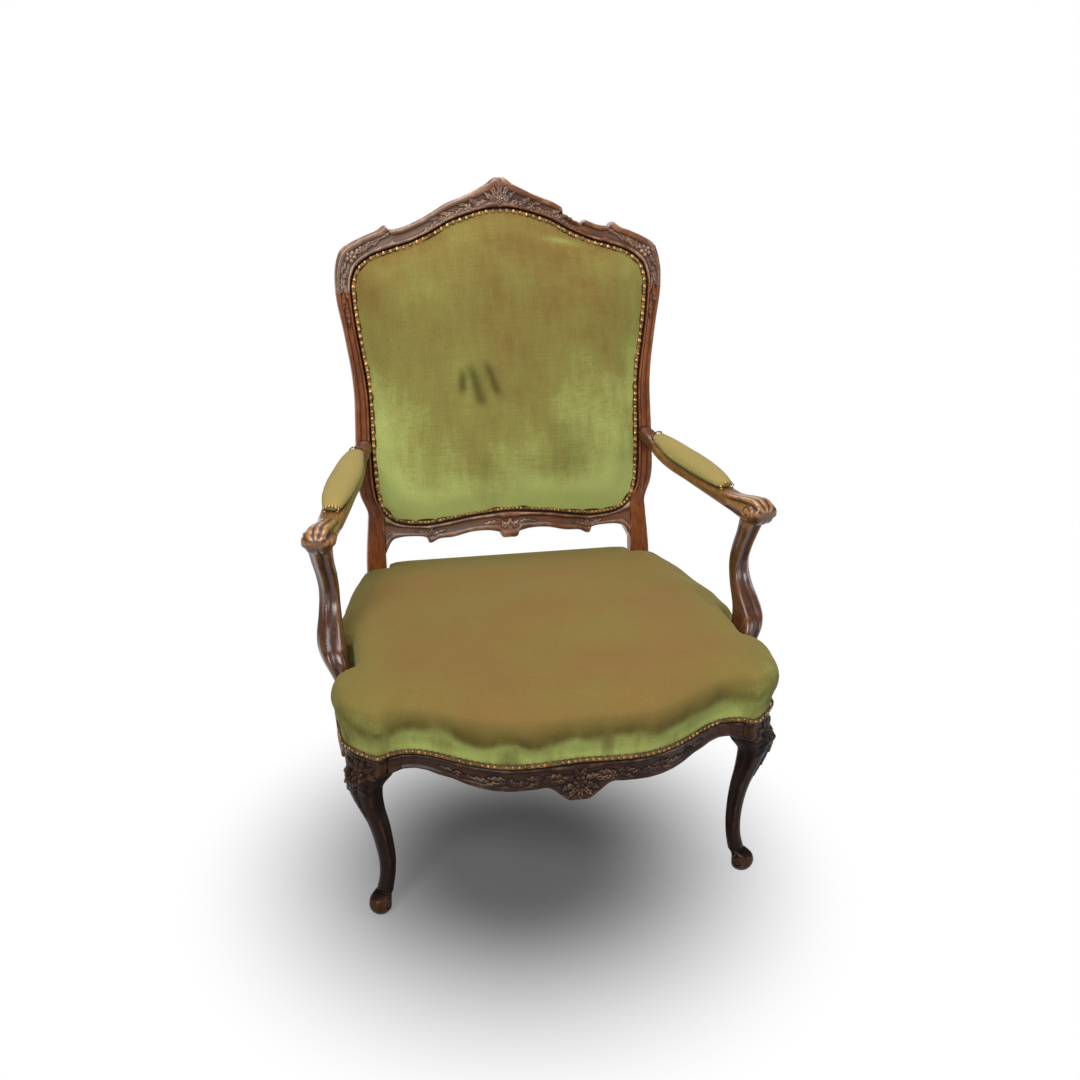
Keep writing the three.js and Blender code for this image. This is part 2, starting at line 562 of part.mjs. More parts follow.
// Rear rail, between the rear legs
const rearInner = STILE_INNER + SEAT_REAR_HALF_WIDTH - 277;
const rearFront = SEAT_DEPTH + REAR_RAIL_SETBACK;
const rearBack = rearFront + REAR_RAIL_THICKNESS;
timber.rearRail = block([-rearInner + GAP, rearFront, RAIL_TOP - RAIL_HEIGHT],
  [rearInner - GAP, rearBack, RAIL_TOP]);
const rearTenonY = rearFront + REAR_RAIL_THICKNESS / 2 + 2;
const rearTenonEnd = rearTenonX - TENON_THICKNESS / 2 - 3;
cutJoint("rearRail", "rearLeg", [rearInner - 6, rearTenonY - TENON_THICKNESS / 2 + 4, tenonLow + 4],
  [rearTenonEnd, rearTenonY + TENON_THICKNESS / 2 + 4, tenonHigh - 4], undefined, true);

// Lower back rail and crest, laid out in the back plane
const lowerTenon = [112 * UP, 146 * UP];
const lowerEnd = acrossBack(STILE_INNER, 160);
const backTenonW = [-24, -14];
{
  const low = [lowerEnd - 8, -backTenonW[1], lowerTenon[0]];
  const high = [lowerEnd + 15, -backTenonW[0], lowerTenon[1]];
  const tenon = block(low, high);
  timber.lowerRail = timber.lowerRail.add(tenon).add(mirrored(tenon));
  timber.rearLeg = timber.rearLeg.subtract(leaning(block(low, high, GAP)));
  const nail = acrossBack(271, 560);
  const outer = acrossBack(303, 560);
  const stubLow = [nail + 2, -backTenonW[1], CREST_JOINT - 8];
  const stubHigh = [outer - 9, -backTenonW[0], CREST_JOINT + 18];
  timber.rearLeg = timber.rearLeg.add(leaning(block(stubLow, stubHigh)));
  const room = block(stubLow, stubHigh, GAP);
  timber.crest = timber.crest.subtract(room).subtract(mirrored(room));
}

// Arm into the stile, support into the rail and the arm
cutJoint("arm", "rearLeg", [armRear.x - 6, armRear.y - 8, ARM_HEIGHT + 4],
  [armRear.x + 6, armRear.y + 15, ARM_HEIGHT + 26]);
const footMiddle = [sideFace(SUPPORT_FOOT) - RAIL_THICKNESS / 2, SUPPORT_FOOT];
cutJoint("support", "sideRail", [footMiddle[0] - 5, footMiddle[1] - 14, RAIL_TOP - 20],
  [footMiddle[0] + 5, footMiddle[1] + 14, RAIL_TOP + 6]);
const headMiddle = [footMiddle[0] + supportRun.at(-1)[2], SUPPORT_FOOT + supportRun.at(-1)[1]];
cutJoint("support", "arm", [headMiddle[0] - 5, headMiddle[1] - 8, supportTop - 6],
  [headMiddle[0] + 5, headMiddle[1] + 8, supportTop + 18]);

// Corner braces inside the rails
function brace(points) {
  const shape = new THREE.Shape(points.map(([x, y]) => new THREE.Vector2(x, y)));
  const middle = RAIL_TOP - RAIL_HEIGHT / 2 - BRACE_HEIGHT / 2;
  return new THREE.ExtrudeGeometry(shape, { depth: BRACE_HEIGHT, bevelEnabled: false, steps: 1 })
    .translate(0, 0, middle);
}
const innerSide = (y) => sideFace(y) - RAIL_THICKNESS - 2 * GAP;
const innerFront = (x) => frontFace(x) + RAIL_THICKNESS + 2 * GAP;
const between = (low, high) => (at) => at > low && at < high;
const legEdge = FRONT_HALF + LEG_BLOCK - RAIL_THICKNESS;
const planX = frontPlan.map(([x]) => x);
const planY = sidePlan.map(([, y]) => y);
const braceFront = brace([
  ...[FRONT_HALF - BRACE_LEG, ...planX.filter(between(FRONT_HALF - BRACE_LEG, FRONT_HALF - 2))]
    .map((x) => [x, innerFront(x)]),
  [FRONT_HALF - 1.5, legInnerY + 1],
  [legEdge - 1.5, LEG_BLOCK + 1],
  ...[...planY.filter(between(LEG_BLOCK + 1, LEG_BLOCK + BRACE_LEG)), LEG_BLOCK + BRACE_LEG]
    .map((y) => [innerSide(y), y]),
]);
const braceRear = brace([
  ...[SEAT_DEPTH - BRACE_LEG, ...planY.filter(between(SEAT_DEPTH - BRACE_LEG, SEAT_DEPTH - 2)),
    SEAT_DEPTH - 1].map((y) => [innerSide(y), y]),
  [rearInner - 1, rearFront - 2 * GAP],
  [rearInner - BRACE_LEG, rearFront - 2 * GAP],
]);

// Seat upholstery
const SEAT_CENTRE = [0, SEAT_DEPTH * 0.48];
const FLUSH = CLOTH + 2 * GAP;
// Right half of the seat's edge from the front middle: the rails' outer faces, then round the stile.
const seatHalf = (() => {
  const faces = [...frontPlan, ...cornerPlan.slice(1), ...sidePlan.slice(1, -1)];
  const along = faces.map(([x, y], i) => {
    const [px, py] = faces[Math.max(0, i - 1)];
    const [qx, qy] = faces[Math.min(faces.length - 1, i + 1)];
    const normal = new THREE.Vector2(qy - py, px - qx).normalize();
    return { x, y, nx: i ? normal.x : 0, ny: i ? normal.y : -1, soft: y > SEAT_DEPTH - 40 ? 0.3 : 1 };
  });
  return [...along,
    { x: sideFace(stileFront - FLUSH), y: stileFront - FLUSH, nx: 1, ny: 1, soft: 0 },
    { x: rearInner - FLUSH, y: stileFront - FLUSH, nx: 1, ny: 1, soft: 0 },
    { x: rearInner - FLUSH, y: rearBack, nx: 1, ny: 1, soft: 0 }];
})();
const mirrorHalf = (half) => half.slice(1).map((p) => ({ ...p, x: -p.x, nx: -p.nx })).reverse();
const seatOutline = [...seatHalf, ...mirrorHalf(seatHalf)];
const coarseHalf = seatHalf.filter((_, i) => i % 2 === 0 || i > seatHalf.length - 4);
const coarseOutline = [...coarseHalf, ...mirrorHalf(coarseHalf)];

// One ring of the seat. `out` is clear of the rail face, `swell` the soft bulge,
// `inward` a share to the middle.
function seatRing([out, swell, inward, z], outline = seatOutline) {
  return outline.map(({ x, y, nx, ny, soft }) => {
    const reach = out + swell * soft;
    return vec(mix(x + nx * reach, SEAT_CENTRE[0], inward), mix(y + ny * reach, SEAT_CENTRE[1], inward), z);
  });
}
const crownZ = RAIL_TOP + SEAT_CROWN;
const coverOuter = [[CLOTH + GAP, 0, 0, SKIRT_BOTTOM], [CLOTH + GAP, 0, 0, RAIL_TOP - 8],
  [CLOTH + GAP, 9, 0, RAIL_TOP + 14], [CLOTH + GAP, 9, 0, RAIL_TOP + 33], [CLOTH + GAP, 1, 0, RAIL_TOP + 51],
  [0, 0, 0.12, RAIL_TOP + 70]];
const coverInner = [[GAP, 0, 0, SKIRT_BOTTOM], [GAP, 0, 0, RAIL_TOP - 8], [GAP, 9, 0, RAIL_TOP + 14],
  [GAP, 9, 0, RAIL_TOP + 32], [GAP, 0.4, 0, RAIL_TOP + 48.8], [-2, 0, 0.122, RAIL_TOP + 67.4]];
const centreTip = (z) => [vec(...SEAT_CENTRE, z)];

// Room round the foot of an arm support, from a level up
function footRoom(level, clear) {
  const [x, y] = footMiddle;
  const room = block([x - 15 - clear, y - 39 - clear, level], [x + 80, y + 75 + clear, RAIL_TOP + 110]);
  return room.add(mirrored(room));
}

function seatCover() {
  const skin = loft([centreTip(crownZ), ...coverOuter.map((r) => seatRing(r)).reverse(),
    ...coverInner.map((r) => seatRing(r)), centreTip(crownZ - CLOTH)]);
  const corner = block([rearInner - FLUSH - 2, SEAT_DEPTH - 20, SKIRT_BOTTOM - 5],
    [sideFace(stileFront - FLUSH) + GAP, rearBack + 0.2, RAIL_TOP + GAP]);
  return solid(skin).subtract(footRoom(RAIL_TOP + 31, 0)).subtract(corner).subtract(mirrored(corner));
}

const stuffingFloor = RAIL_TOP + HESSIAN + 3 * GAP + 0.6;
function seatStuffing() {
  const outer = coverInner.slice(2).map(([out, swell, inward, z]) => [out - 5, swell, inward, z - 1]);
  const under = deckProfile.map(([inward, rise]) => [-14, 0, inward, stuffingFloor + rise]);
  const rings = [[-5, 4, 0, stuffingFloor], ...outer].reverse().concat(under);
  const pad = loft([centreTip(crownZ - CLOTH - 1), ...rings.map((r) => seatRing(r, coarseOutline)),
    centreTip(stuffingFloor + SPRING_DECK)]);
  return solid(pad).subtract(footRoom(RAIL_TOP - 5, 3));
}

// The spring deck: [share to the middle, rise above the rails]
const deckProfile = [[0, 0], [0.14, 0.5 * SPRING_DECK], [0.22, SPRING_DECK]];

function seatHessian() {
  const sheet = (lift) => deckProfile
    .map(([inward, rise]) => seatRing([-14, 0, inward, lift + rise], coarseOutline));
  const under = RAIL_TOP + GAP;
  const skin = loft([centreTip(under + HESSIAN + SPRING_DECK), ...sheet(under + HESSIAN).reverse(),
    ...sheet(under), centreTip(under + SPRING_DECK)]);
  return solid(skin).subtract(footRoom(RAIL_TOP - 5, 3));
}

// A flat strip along [x, y, z] points, `across` the direction of its width
function strip(points, across, width, thickness) {
  const rings = points.map((p, i) => {
    const next = points[Math.min(i + 1, points.length - 1)];
    const run = next.clone().sub(points[Math.max(i - 1, 0)]).normalize();
    const normal = run.clone().cross(across).normalize();
    return [[-1, -1], [1, -1], [1, 1], [-1, 1]].map(([a, b]) =>
      p.clone().addScaledVector(across, (a * width) / 2).addScaledVector(normal, (b * thickness) / 2));
  });
  return loft(rings);
}

// Seat webbing, woven over and under on the underside of the rails
const WEB_LENGTHWISE = 5;
const WEB_CROSSWISE = 4;
const WEAVE = 1.6;
const webLevel = RAIL_TOP - RAIL_HEIGHT - GAP - WEB_THICKNESS / 2;
const crossingLevel = webLevel - WEAVE - GAP;
const webPitch = (2 * rearInner - 24) / WEB_LENGTHWISE;
const webX = Array.from({ length: WEB_LENGTHWISE }, (_, i) => (i - (WEB_LENGTHWISE - 1) / 2) * webPitch);
const firstCross = LEG_BLOCK + WEB_WIDTH / 2 + 4;
const lastCross = SEAT_DEPTH - WEB_WIDTH / 2 - 12;
const webY = Array.from({ length: WEB_CROSSWISE },
  (_, i) => mix(firstCross, lastCross, i / (WEB_CROSSWISE - 1)));

// Points of a web through its crossings: level on the rails, over and under between them.
function wovenRun(ends, crossings, level, crossing, overFirst) {
  const heights = crossings.map((_, i) => crossing + ((i + (overFirst ? 0 : 1)) % 2 ? -WEAVE : WEAVE));
  const half = WEB_WIDTH / 2 + 1;
  const last = crossings.length - 1;
  return [[ends[0], level], [Math.min(ends[1], crossings[0] - half - 1), level],
    [crossings[0] - half, heights[0]],
    ...crossings.map((at, i) => [at, heights[i]]), [crossings[last] + half, heights[last]],
    [Math.max(ends[2], crossings[last] + half + 1), level], [ends[3], level]];
}

const lengthwiseRuns = webX.map((x, i) => {
  const edge = Math.max(...[-0.5, 0, 0.5].map((k) => frontFace(x + k * WEB_WIDTH))) + RAIL_THICKNESS;
  const ends = [edge - 14, edge + 4, rearFront - 4, rearBack - 4];
  return wovenRun(ends, webY, webLevel, crossingLevel, i % 2 === 0);
});
const crosswiseRuns = webY.map((y, j) => {
  const edge = Math.min(sideFace(y - WEB_WIDTH / 2), sideFace(y + WEB_WIDTH / 2)) - RAIL_THICKNESS;
  return wovenRun([-edge - 14, -edge + 4, edge - 4, edge + 14], webX, webLevel, crossingLevel, j % 2 === 1);
});
const webStrip = (points, across) => strip(points, across, WEB_WIDTH, WEB_THICKNESS);
const lengthwiseWeb = (run, x) => webStrip(run.map(([y, z]) => vec(x, y, z)), vec(1, 0, 0));
const crosswiseWeb = (run, y) => webStrip(run.map(([x, z]) => vec(x, y, z)), vec(0, 1, 0));

// Middle height of the highest web over a point
function webAt(x, y) {
  const over = (at, middle) => Math.abs(at - middle) <= WEB_WIDTH / 2;
  const heights = [
    ...lengthwiseRuns.filter((_, i) => over(x, webX[i])).map((run) => tabled(run, y)[0]),
    ...crosswiseRuns.filter((_, j) => over(y, webY[j])).map((run) => tabled(run, x)[0]),
  ];
  return Math.max(crossingLevel - WEAVE, ...heights);
}

// Seat springs: hour-glass coils on the webbing
const SPRING_SPACING = 135;
const springY = [0, 0.5, 1].map((t) => mix(firstCross + 12, lastCross - 46, t));
class HourGlass extends THREE.Curve {
  constructor(x, y, low, high) {
    super();
    Object.assign(this, { x, y, low, high });
  }

  getPoint(t, target = vec()) {
    const angle = t * SPRING_TURNS * Math.PI * 2;
    const radius = SPRING_WAIST + (SPRING_RADIUS - SPRING_WAIST) * (2 * t - 1) ** 2;
    const even = THREE.MathUtils.clamp((t - 0.1) / 0.8, 0, 1);
    const rise = THREE.MathUtils.smoothstep(t, 0.1, 0.9) * 0.35 + even * 0.65;
    const z = mix(this.low, this.high, rise);
    return target.set(this.x + radius * Math.cos(angle), this.y + radius * Math.sin(angle), z);
  }
}

function spring(x, y) {
  const foot = Array.from({ length: 24 }, (_, i) => (i / 24) * Math.PI * 2)
    .map((angle) => webAt(x + SPRING_RADIUS * Math.cos(angle), y + SPRING_RADIUS * Math.sin(angle)));
  const low = Math.max(...foot) + WEB_THICKNESS / 2 + GAP + SPRING_WIRE / 2;
  const high = RAIL_TOP + SPRING_DECK - SPRING_WIRE / 2;
  const section = new THREE.Shape();
  section.absarc(0, 0, SPRING_WIRE / 2, 0, Math.PI * 2, false);
  return new THREE.ExtrudeGeometry(section, {
    extrudePath: new HourGlass(x, y, low, high), steps: SPRING_TURNS * 7, curveSegments: 2,
    bevelEnabled: false,
  });
}

// Back upholstery, in the back plane. Each ring is [inset from the nail line, share to the middle, out].
const backTip = (w) => [inPlane(...BACK_CENTRE, w)];
const backSkin = (rings, half = backHalf) => rings.map((ring) => backRing(ring, half));
const ledge = GAP - LEDGE_DEPTH;
const coverRings = [[-5, 0, ledge + CLOTH], [5, 0, ledge + CLOTH], [13, 0, 2], [22, 0.04, 10], [30, 0.3, 21]];
const liningRings = [[-5, 0, ledge], [6.5, 0, ledge], [15, 0, -0.6], [24, 0.04, 7.4], [31, 0.3, 18.4]];

function backCover() {
  return loft([backTip(BACK_CROWN), ...backSkin(coverRings).reverse(), ...backSkin(liningRings),
    backTip(BACK_CROWN - CLOTH)]);
}

// Back webbing across the opening, nailed to the front ledge
const BACK_WEBS = 3;
const backWebX = Array.from({ length: BACK_WEBS }, (_, i) => (i - 1) * 140);
const backWebS = Array.from({ length: BACK_WEBS }, (_, i) => mix(230, 530, i / (BACK_WEBS - 1)) * UP);
const webW = ledge + WEB_THICKNESS / 2 + 0.1;
const backCrossing = webW + WEAVE + GAP;
const WEB_HOLD = 9;

function backWebUp(i) {
  const x = backWebX[i];
  const across = [-0.5, 0, 0.5].map((k) => Math.abs(x + k * WEB_WIDTH));
  const low = Math.max(...across.map((at) => lowerNail(at))) + WEB_HOLD;
  const high = Math.min(...across.map((at) => crestNail(at))) - WEB_HOLD;
  const run = wovenRun([low, low + 12, high - 12, high], backWebS, webW, backCrossing, i % 2 === 0);
  return strip(run.map(([s, w]) => inPlane(x, s, w)), vec(1, 0, 0), WEB_WIDTH, WEB_THICKNESS);
}

function backWebAcross(j) {
  const s = backWebS[j];
  const reach = Math.min(...[-0.5, 0, 0.5].map((k) => sideAt(nailSide, s + k * WEB_WIDTH))) - WEB_HOLD;
  const run = wovenRun([-reach, 12 - reach, reach - 12, reach], backWebX, webW, backCrossing, j % 2 === 1);
  return strip(run.map(([x, w]) => inPlane(x, s, w)), vec(0, 0, 1), WEB_WIDTH, WEB_THICKNESS);
}

const hessianW = backCrossing + WEAVE + WEB_THICKNESS / 2 + GAP;
const coarseBack = backHalf.filter((_, i) => i % 2 === 0 || i === backHalf.length - 1);

function backHessian() {
  const [under, over] = [hessianW, hessianW + HESSIAN];
  return loft([backTip(over), ...backSkin([[18, 0, over], [18, 0, under]], coarseBack), backTip(under)]);
}

function backStuffing() {
  const under = hessianW + HESSIAN + GAP;
  const rings = [[34, 0.3, 17.2], [27, 0.04, 5.5], [20, 0, under]];
  return loft([backTip(BACK_CROWN - CLOTH - 0.9), ...backSkin(rings, coarseBack), backTip(under)]);
}

const rearFloor = REAR_REBATE - BACK_THICKNESS - GAP;
function outsideBack() {
  const rings = [[24, 0.3, rearFloor - 6.4], [-3, 0, rearFloor - CLOTH], [-3, 0, rearFloor]];
  return loft([backTip(rearFloor - 7), ...backSkin(rings), backTip(rearFloor)]);
}

// Braid round the back, lying `near` one face and as far out as `far`
function backBraid(near, far) {
  const half = BRAID_WIDTH / 2;
  return loft(backSkin([[half, 0, near], [-half, 0, near], [-half, 0, far], [half, 0, far]]), true);
}

// Arm pads: crowned, nailed along their lower edges
const PAD_FROM = 0.075;
const PAD_TO = 0.69;
const PAD_HALF_WIDTH = 23;
const padSection = [[-0.8, 0], [-1, 0.25], [-0.88, 0.62], [-0.55, 0.9], [0, 1], [0.55, 0.9], [0.88, 0.62],
  [1, 0.25], [0.8, 0]];

function armPad() {
  const rings = Array.from({ length: 12 }, (_, i) => {
    const k = i / 11;
    const t = mix(PAD_FROM, PAD_TO, k);
    const here = armStation(t, armSpread(t));
    const run = armStation(t + 0.02, armSpread(t + 0.02)).sub(here).normalize();
    const side = vec(-run.y, run.x, 0).normalize();
    const fullness = Math.sin(Math.PI * mix(0.09, 0.91, k)) ** 0.45;
    const base = ARM_HEIGHT + armTop(t) + 3 * GAP;
    return padSection.map(([a, b]) =>
      here.clone().setZ(base + PAD_CROWN * fullness * b)
        .addScaledVector(side, PAD_HALF_WIDTH * fullness * a));
  });
  return loft(rings);
}

// Seat braid along the nail line
function seatBraid(points) {
  const at = ({ x, y, nx, ny }, out, z) => vec(x + nx * out, y + ny * out, z);
  const [near, far] = [CLOTH + 2 * GAP, CLOTH + 2 * GAP + BRAID_THICKNESS];
  const half = BRAID_WIDTH / 2;
  const section = [[near, -half], [far, -half], [far, half], [near, half]];
  return loft(points.map((p) => section.map(([out, rise]) => at(p, out, NAIL_LINE + rise))));
}
const braidRight = seatOutline.findIndex(({ y }) => y > SEAT_DEPTH - 20);
const braidFrontPoints = [
  ...seatOutline.slice(seatOutline.length - braidRight + 1), ...seatOutline.slice(0, braidRight),
];

// Assembly
const chair = new THREE.Group();

function addPiece(name, geometry, material, parent = chair) {
  const mesh = new THREE.Mesh(geometry, material);
  mesh.name = name;
  parent.add(mesh);
  return mesh;
}

function addPair(name, geometry, material) {
  addPiece(`${name}_left`, geometry, material);
  addPiece(`${name}_right`, geometry, material).scale.x = -1;
}

const back = new THREE.Group();
back.position.set(...backOrigin);
back.rotation.x = -RECLINE;
chair.add(back);

addPair("front_leg", geometryOf(timber.frontLeg), walnut);
addPair("rear_leg_and_stile", geometryOf(timber.rearLeg), walnut);
addPiece("front_seat_rail", geometryOf(timber.frontRail), walnut);
addPair("side_seat_rail", geometryOf(timber.sideRail), walnut);
addPiece("rear_seat_rail", geometryOf(timber.rearRail), walnut);
addPiece("crest_rail", geometryOf(timber.crest), walnut, back);
addPiece("lower_back_rail", geometryOf(timber.lowerRail), walnut, back);
addPair("arm", geometryOf(timber.arm), walnut);
addPair("arm_support", geometryOf(timber.support), walnut);
addPair("corner_brace_front", braceFront, walnut);
addPair("corner_brace_rear", braceRear, walnut);

lengthwiseRuns.forEach((run, i) => {
  addPiece(`seat_web_lengthwise_${i + 1}`, lengthwiseWeb(run, webX[i]), jute);
});
crosswiseRuns.forEach((run, j) => {
  addPiece(`seat_web_crosswise_${j + 1}`, crosswiseWeb(run, webY[j]), jute);
});
springY.forEach((y, row) => [-1, 0, 1].forEach((column) => {
  addPiece(`seat_spring_${row * 3 + column + 2}`, spring(column * SPRING_SPACING, y), steel);
}));
addPiece("seat_hessian", geometryOf(seatHessian()), jute);
addPiece("seat_stuffing", geometryOf(seatStuffing()), hair);
addPiece("seat_cover", geometryOf(seatCover()), velvet);
addPiece("seat_braid", seatBraid(braidFrontPoints), braid);

backWebX.forEach((_, i) => addPiece(`back_web_upright_${i + 1}`, backWebUp(i), jute, back));
backWebS.forEach((_, j) => addPiece(`back_web_crosswise_${j + 1}`, backWebAcross(j), jute, back));
addPiece("back_hessian", backHessian(), jute, back);
addPiece("back_stuffing", backStuffing(), hair, back);
addPiece("back_cover", backCover(), velvet, back);
addPiece("outside_back_cover", outsideBack(), velvet, back);
const frontBraid = ledge + CLOTH + GAP;
const rearBraid = rearFloor - CLOTH - 2 * GAP;
addPiece("back_braid_front", backBraid(frontBraid, frontBraid + BRAID_THICKNESS), braid, back);
addPiece("back_braid_rear", backBraid(rearBraid, rearBraid - BRAID_THICKNESS), braid, back);
addPair("arm_pad", armPad(), velvet);

// The part's frame stands on the floor under the middle of the chair
const extent = new THREE.Box3().setFromObject(chair, true);
chair.position.y = -(extent.min.y + extent.max.y) / 2;

export default chair;
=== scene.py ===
"""Looks of a worn open-arm easy chair: carved walnut, olive velvet, brass nails and gimp.

Sizes are millimetres in the chair's own plan: x to the sitter's left, y back from the front corners of the
seat, z up. `Plan.to_world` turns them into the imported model's metres.
"""
from __future__ import annotations

import logging
import math
from dataclasses import dataclass, field
from enum import Enum
from typing import Callable, Sequence

import bmesh
import bpy
import numpy as np
from mathutils import Matrix, Vector
from mathutils.bvhtree import BVHTree


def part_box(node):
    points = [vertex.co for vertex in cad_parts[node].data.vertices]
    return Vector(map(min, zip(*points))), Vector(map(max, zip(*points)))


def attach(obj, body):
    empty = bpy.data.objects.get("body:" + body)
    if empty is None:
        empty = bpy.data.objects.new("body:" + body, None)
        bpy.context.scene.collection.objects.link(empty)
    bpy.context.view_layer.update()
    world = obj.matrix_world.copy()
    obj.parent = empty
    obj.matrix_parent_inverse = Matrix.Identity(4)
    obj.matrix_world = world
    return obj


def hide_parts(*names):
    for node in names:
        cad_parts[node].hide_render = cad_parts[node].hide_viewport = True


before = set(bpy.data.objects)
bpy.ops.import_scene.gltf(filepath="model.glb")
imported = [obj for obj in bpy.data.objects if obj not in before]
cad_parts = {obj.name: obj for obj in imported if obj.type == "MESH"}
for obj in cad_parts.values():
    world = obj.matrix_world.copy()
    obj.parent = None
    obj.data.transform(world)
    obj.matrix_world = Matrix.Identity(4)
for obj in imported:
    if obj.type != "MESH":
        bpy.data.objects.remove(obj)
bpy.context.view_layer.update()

log = logging.getLogger("chair")
Rows = Sequence[Sequence[float]]
Array = np.ndarray
Socket = bpy.types.NodeSocket
Tree = bpy.types.NodeTree
Piece = bpy.types.Object
Material = bpy.types.Material

SEED = 11
RAIL_TOP = 322.0
SEAT_DEPTH = 520.0
SKIRT_BOTTOM = 292.0
NAIL_LINE = 298.0
RECLINE = math.radians(10.8)
BACK_ORIGIN = np.array([0.0, SEAT_DEPTH + 1.3, RAIL_TOP])
BACK_THICKNESS = 34.0
ARM_HEIGHT = 575.0
CHIP_FROM, CHIP_TO, CHIP_DEPTH = 117.0, 157.0, 9.0

# The camera fitted to the photograph: pixels, metres and directions
PHOTO_WIDTH = 1080
FOCAL_LENGTH = 1202.547
CAMERA_PLACE = Vector((-0.3721, -1.5606, 1.2889))
CAMERA_RIGHT = (0.98050, -0.19624, 0.01033)
CAMERA_FORWARD = (0.18524, 0.90545, -0.38190)


# Small maths


def smoothstep(value: Array, low: float, high: float) -> Array:
    """Rises from 0 at `low` to 1 at `high` without a corner."""
    t = np.clip((np.asarray(value, float) - low) / (high - low), 0.0, 1.0)
    return t * t * (3.0 - 2.0 * t)


def mix(a: Array, b: Array, t: Array) -> Array:
    """Goes from `a` to `b` as `t` goes from 0 to 1."""
    return a + (b - a) * t


def bump(value: Array, middle: float, width: float) -> Array:
    """A soft hill of height 1 round `middle`."""
    return np.exp(-(((value - middle) / width) ** 2))


def unit(vectors: Array) -> Array:
    """The same directions with length 1."""
    return vectors / np.maximum(np.linalg.norm(vectors, axis=-1, keepdims=True), 1e-9)


def squared_circle(angle: Array, power: float) -> tuple[Array, Array]:
    """Across and up of a circle of radius 1 that swells towards a square as the power rises from 2."""
    c, s = np.cos(angle), np.sin(angle)
    reach = (np.abs(c) ** power + np.abs(s) ** power) ** (-1 / power)
    return c * reach, s * reach


def spaced(rows: Rows, count: int) -> Array:
    """Points evenly spaced along a smooth curve.

    Args:
        rows: Points that the curve goes through.
        count: Number of steps.

    Returns:
        count + 1 points.
    """
    points = np.array(rows, float)
    padded = np.vstack([2 * points[0] - points[1], points, 2 * points[-1] - points[-2]])
    t = np.linspace(0, 1, 24, endpoint=False)[:, None]
    runs = []
    for a, b, c, d in zip(padded[:-3], padded[1:-2], padded[2:-1], padded[3:]):
        runs.append(0.5 * (2 * b + (c - a) * t + (2 * a - 5 * b + 4 * c - d) * t**2
                           + (3 * b - a - 3 * c + d) * t**3))
    fine = np.vstack(runs + [points[-1:]])
    length = np.concatenate([[0], np.cumsum(np.linalg.norm(np.diff(fine[:, :2], axis=0), axis=1))])
    at = np.linspace(0, length[-1], count + 1)
    return np.stack([np.interp(at, length, fine[:, k]) for k in range(fine.shape[1])], axis=1)


def eased(rows: Rows, at: Array) -> Array:
    """Looks up a table of [t, ...values] rows without corners at the rows.

    Args:
        rows: The table, in rising order of its first column.
        at: Where to look.

    Returns:
        One row of values for each place.
    """
    table = np.array(rows, float)
    x, y = table[:, 0], table[:, 1:]
    slope = np.diff(y, axis=0) / np.diff(x)[:, None]
    tangent = np.vstack([slope[:1], slope[-1:]]) if len(x) == 2 else np.zeros_like(y)
    if len(x) > 2:
        before, after = np.diff(x)[:-1, None], np.diff(x)[1:, None]
        tangent[1:-1] = (slope[:-1] * after + slope[1:] * before) / (before + after)
        tangent[0], tangent[-1] = slope[0], slope[-1]
    at = np.clip(np.asarray(at, float), x[0], x[-1])
    i = np.clip(np.searchsorted(x, at, side="right") - 1, 0, len(x) - 2)
    h = (x[i + 1] - x[i])[:, None]
    t = ((at - x[i]) / h[:, 0])[:, None]
    return (y[i] * (1 + 2 * t) * (1 - t) ** 2 + tangent[i] * h * t * (1 - t) ** 2
            + y[i + 1] * t**2 * (3 - 2 * t) + tangent[i + 1] * h * t**2 * (t - 1))


def straight(rows: Rows, at: Array) -> Array:
    """Looks up the second column of a table in straight runs."""
    table = np.array(rows, float)
    return np.interp(at, table[:, 0], table[:, 1])


# The chair's plan and outlines

FRONT_HALF = 283.0
FRONT_PLAN = spaced([[0, -62], [59.4, -66], [101.9, -64.7], [135.8, -54.8], [167, -38.3], [192.4, -21.1],
                     [217.9, -4.6], [243.4, 5.9], [266, 7.9], [283, 3.3]], 14)
CORNER_PLAN = spaced([[283, 3.3], [298, -5], [314, 8], [330, 25], [342, 43], [345, 62]], 6)
SIDE_PLAN = spaced([[345, 62], [349, 121.5], [348, 181], [340, 249.8], [326, 329.9], [310.1, 400.9],
                    [294.3, 460.5], [277, 520]], 9)
NAIL_SIDE = [[132, 190], [140, 215], [150, 230], [168, 241], [200, 247], [260, 250], [385, 251], [450, 259],
             [500, 266], [560, 271]]
OUTER_SIDE = [[0, 276], [64, 274], [136, 268], [150, 267], [190, 280], [270, 283], [330, 281], [373, 280],
              [421, 283], [459, 288], [500, 294], [540, 301], [560, 303]]
CREST_HALF = [[271, 560, 303, 560], [269, 580, 303, 590], [262, 598, 298, 618], [250, 610, 289, 636],
              [232, 621, 270, 648], [212, 628, 243, 660], [200, 631, 225, 667], [191, 634, 211, 676],
              [182, 636, 202, 669], [160, 643, 180, 672], [134, 654, 150, 684], [113, 665, 122, 699],
              [93, 676, 98, 713], [68, 685, 74, 722], [40, 693, 46, 734], [21, 697, 24, 746],
              [9, 698, 10, 756], [0, 698, 0, 756]]
LOWER_HALF = [[0, 149, 92], [14, 148.7, 93], [21, 148, 104], [45, 146, 108], [75, 143, 107], [107, 138, 100],
              [135, 134, 98], [148, 132.5, 92], [156, 132, 92], [163, 131.5, 103], [195, 134.5, 106],
              [215, 140, 104], [226, 147, 98], [237.7, 158, 76]]
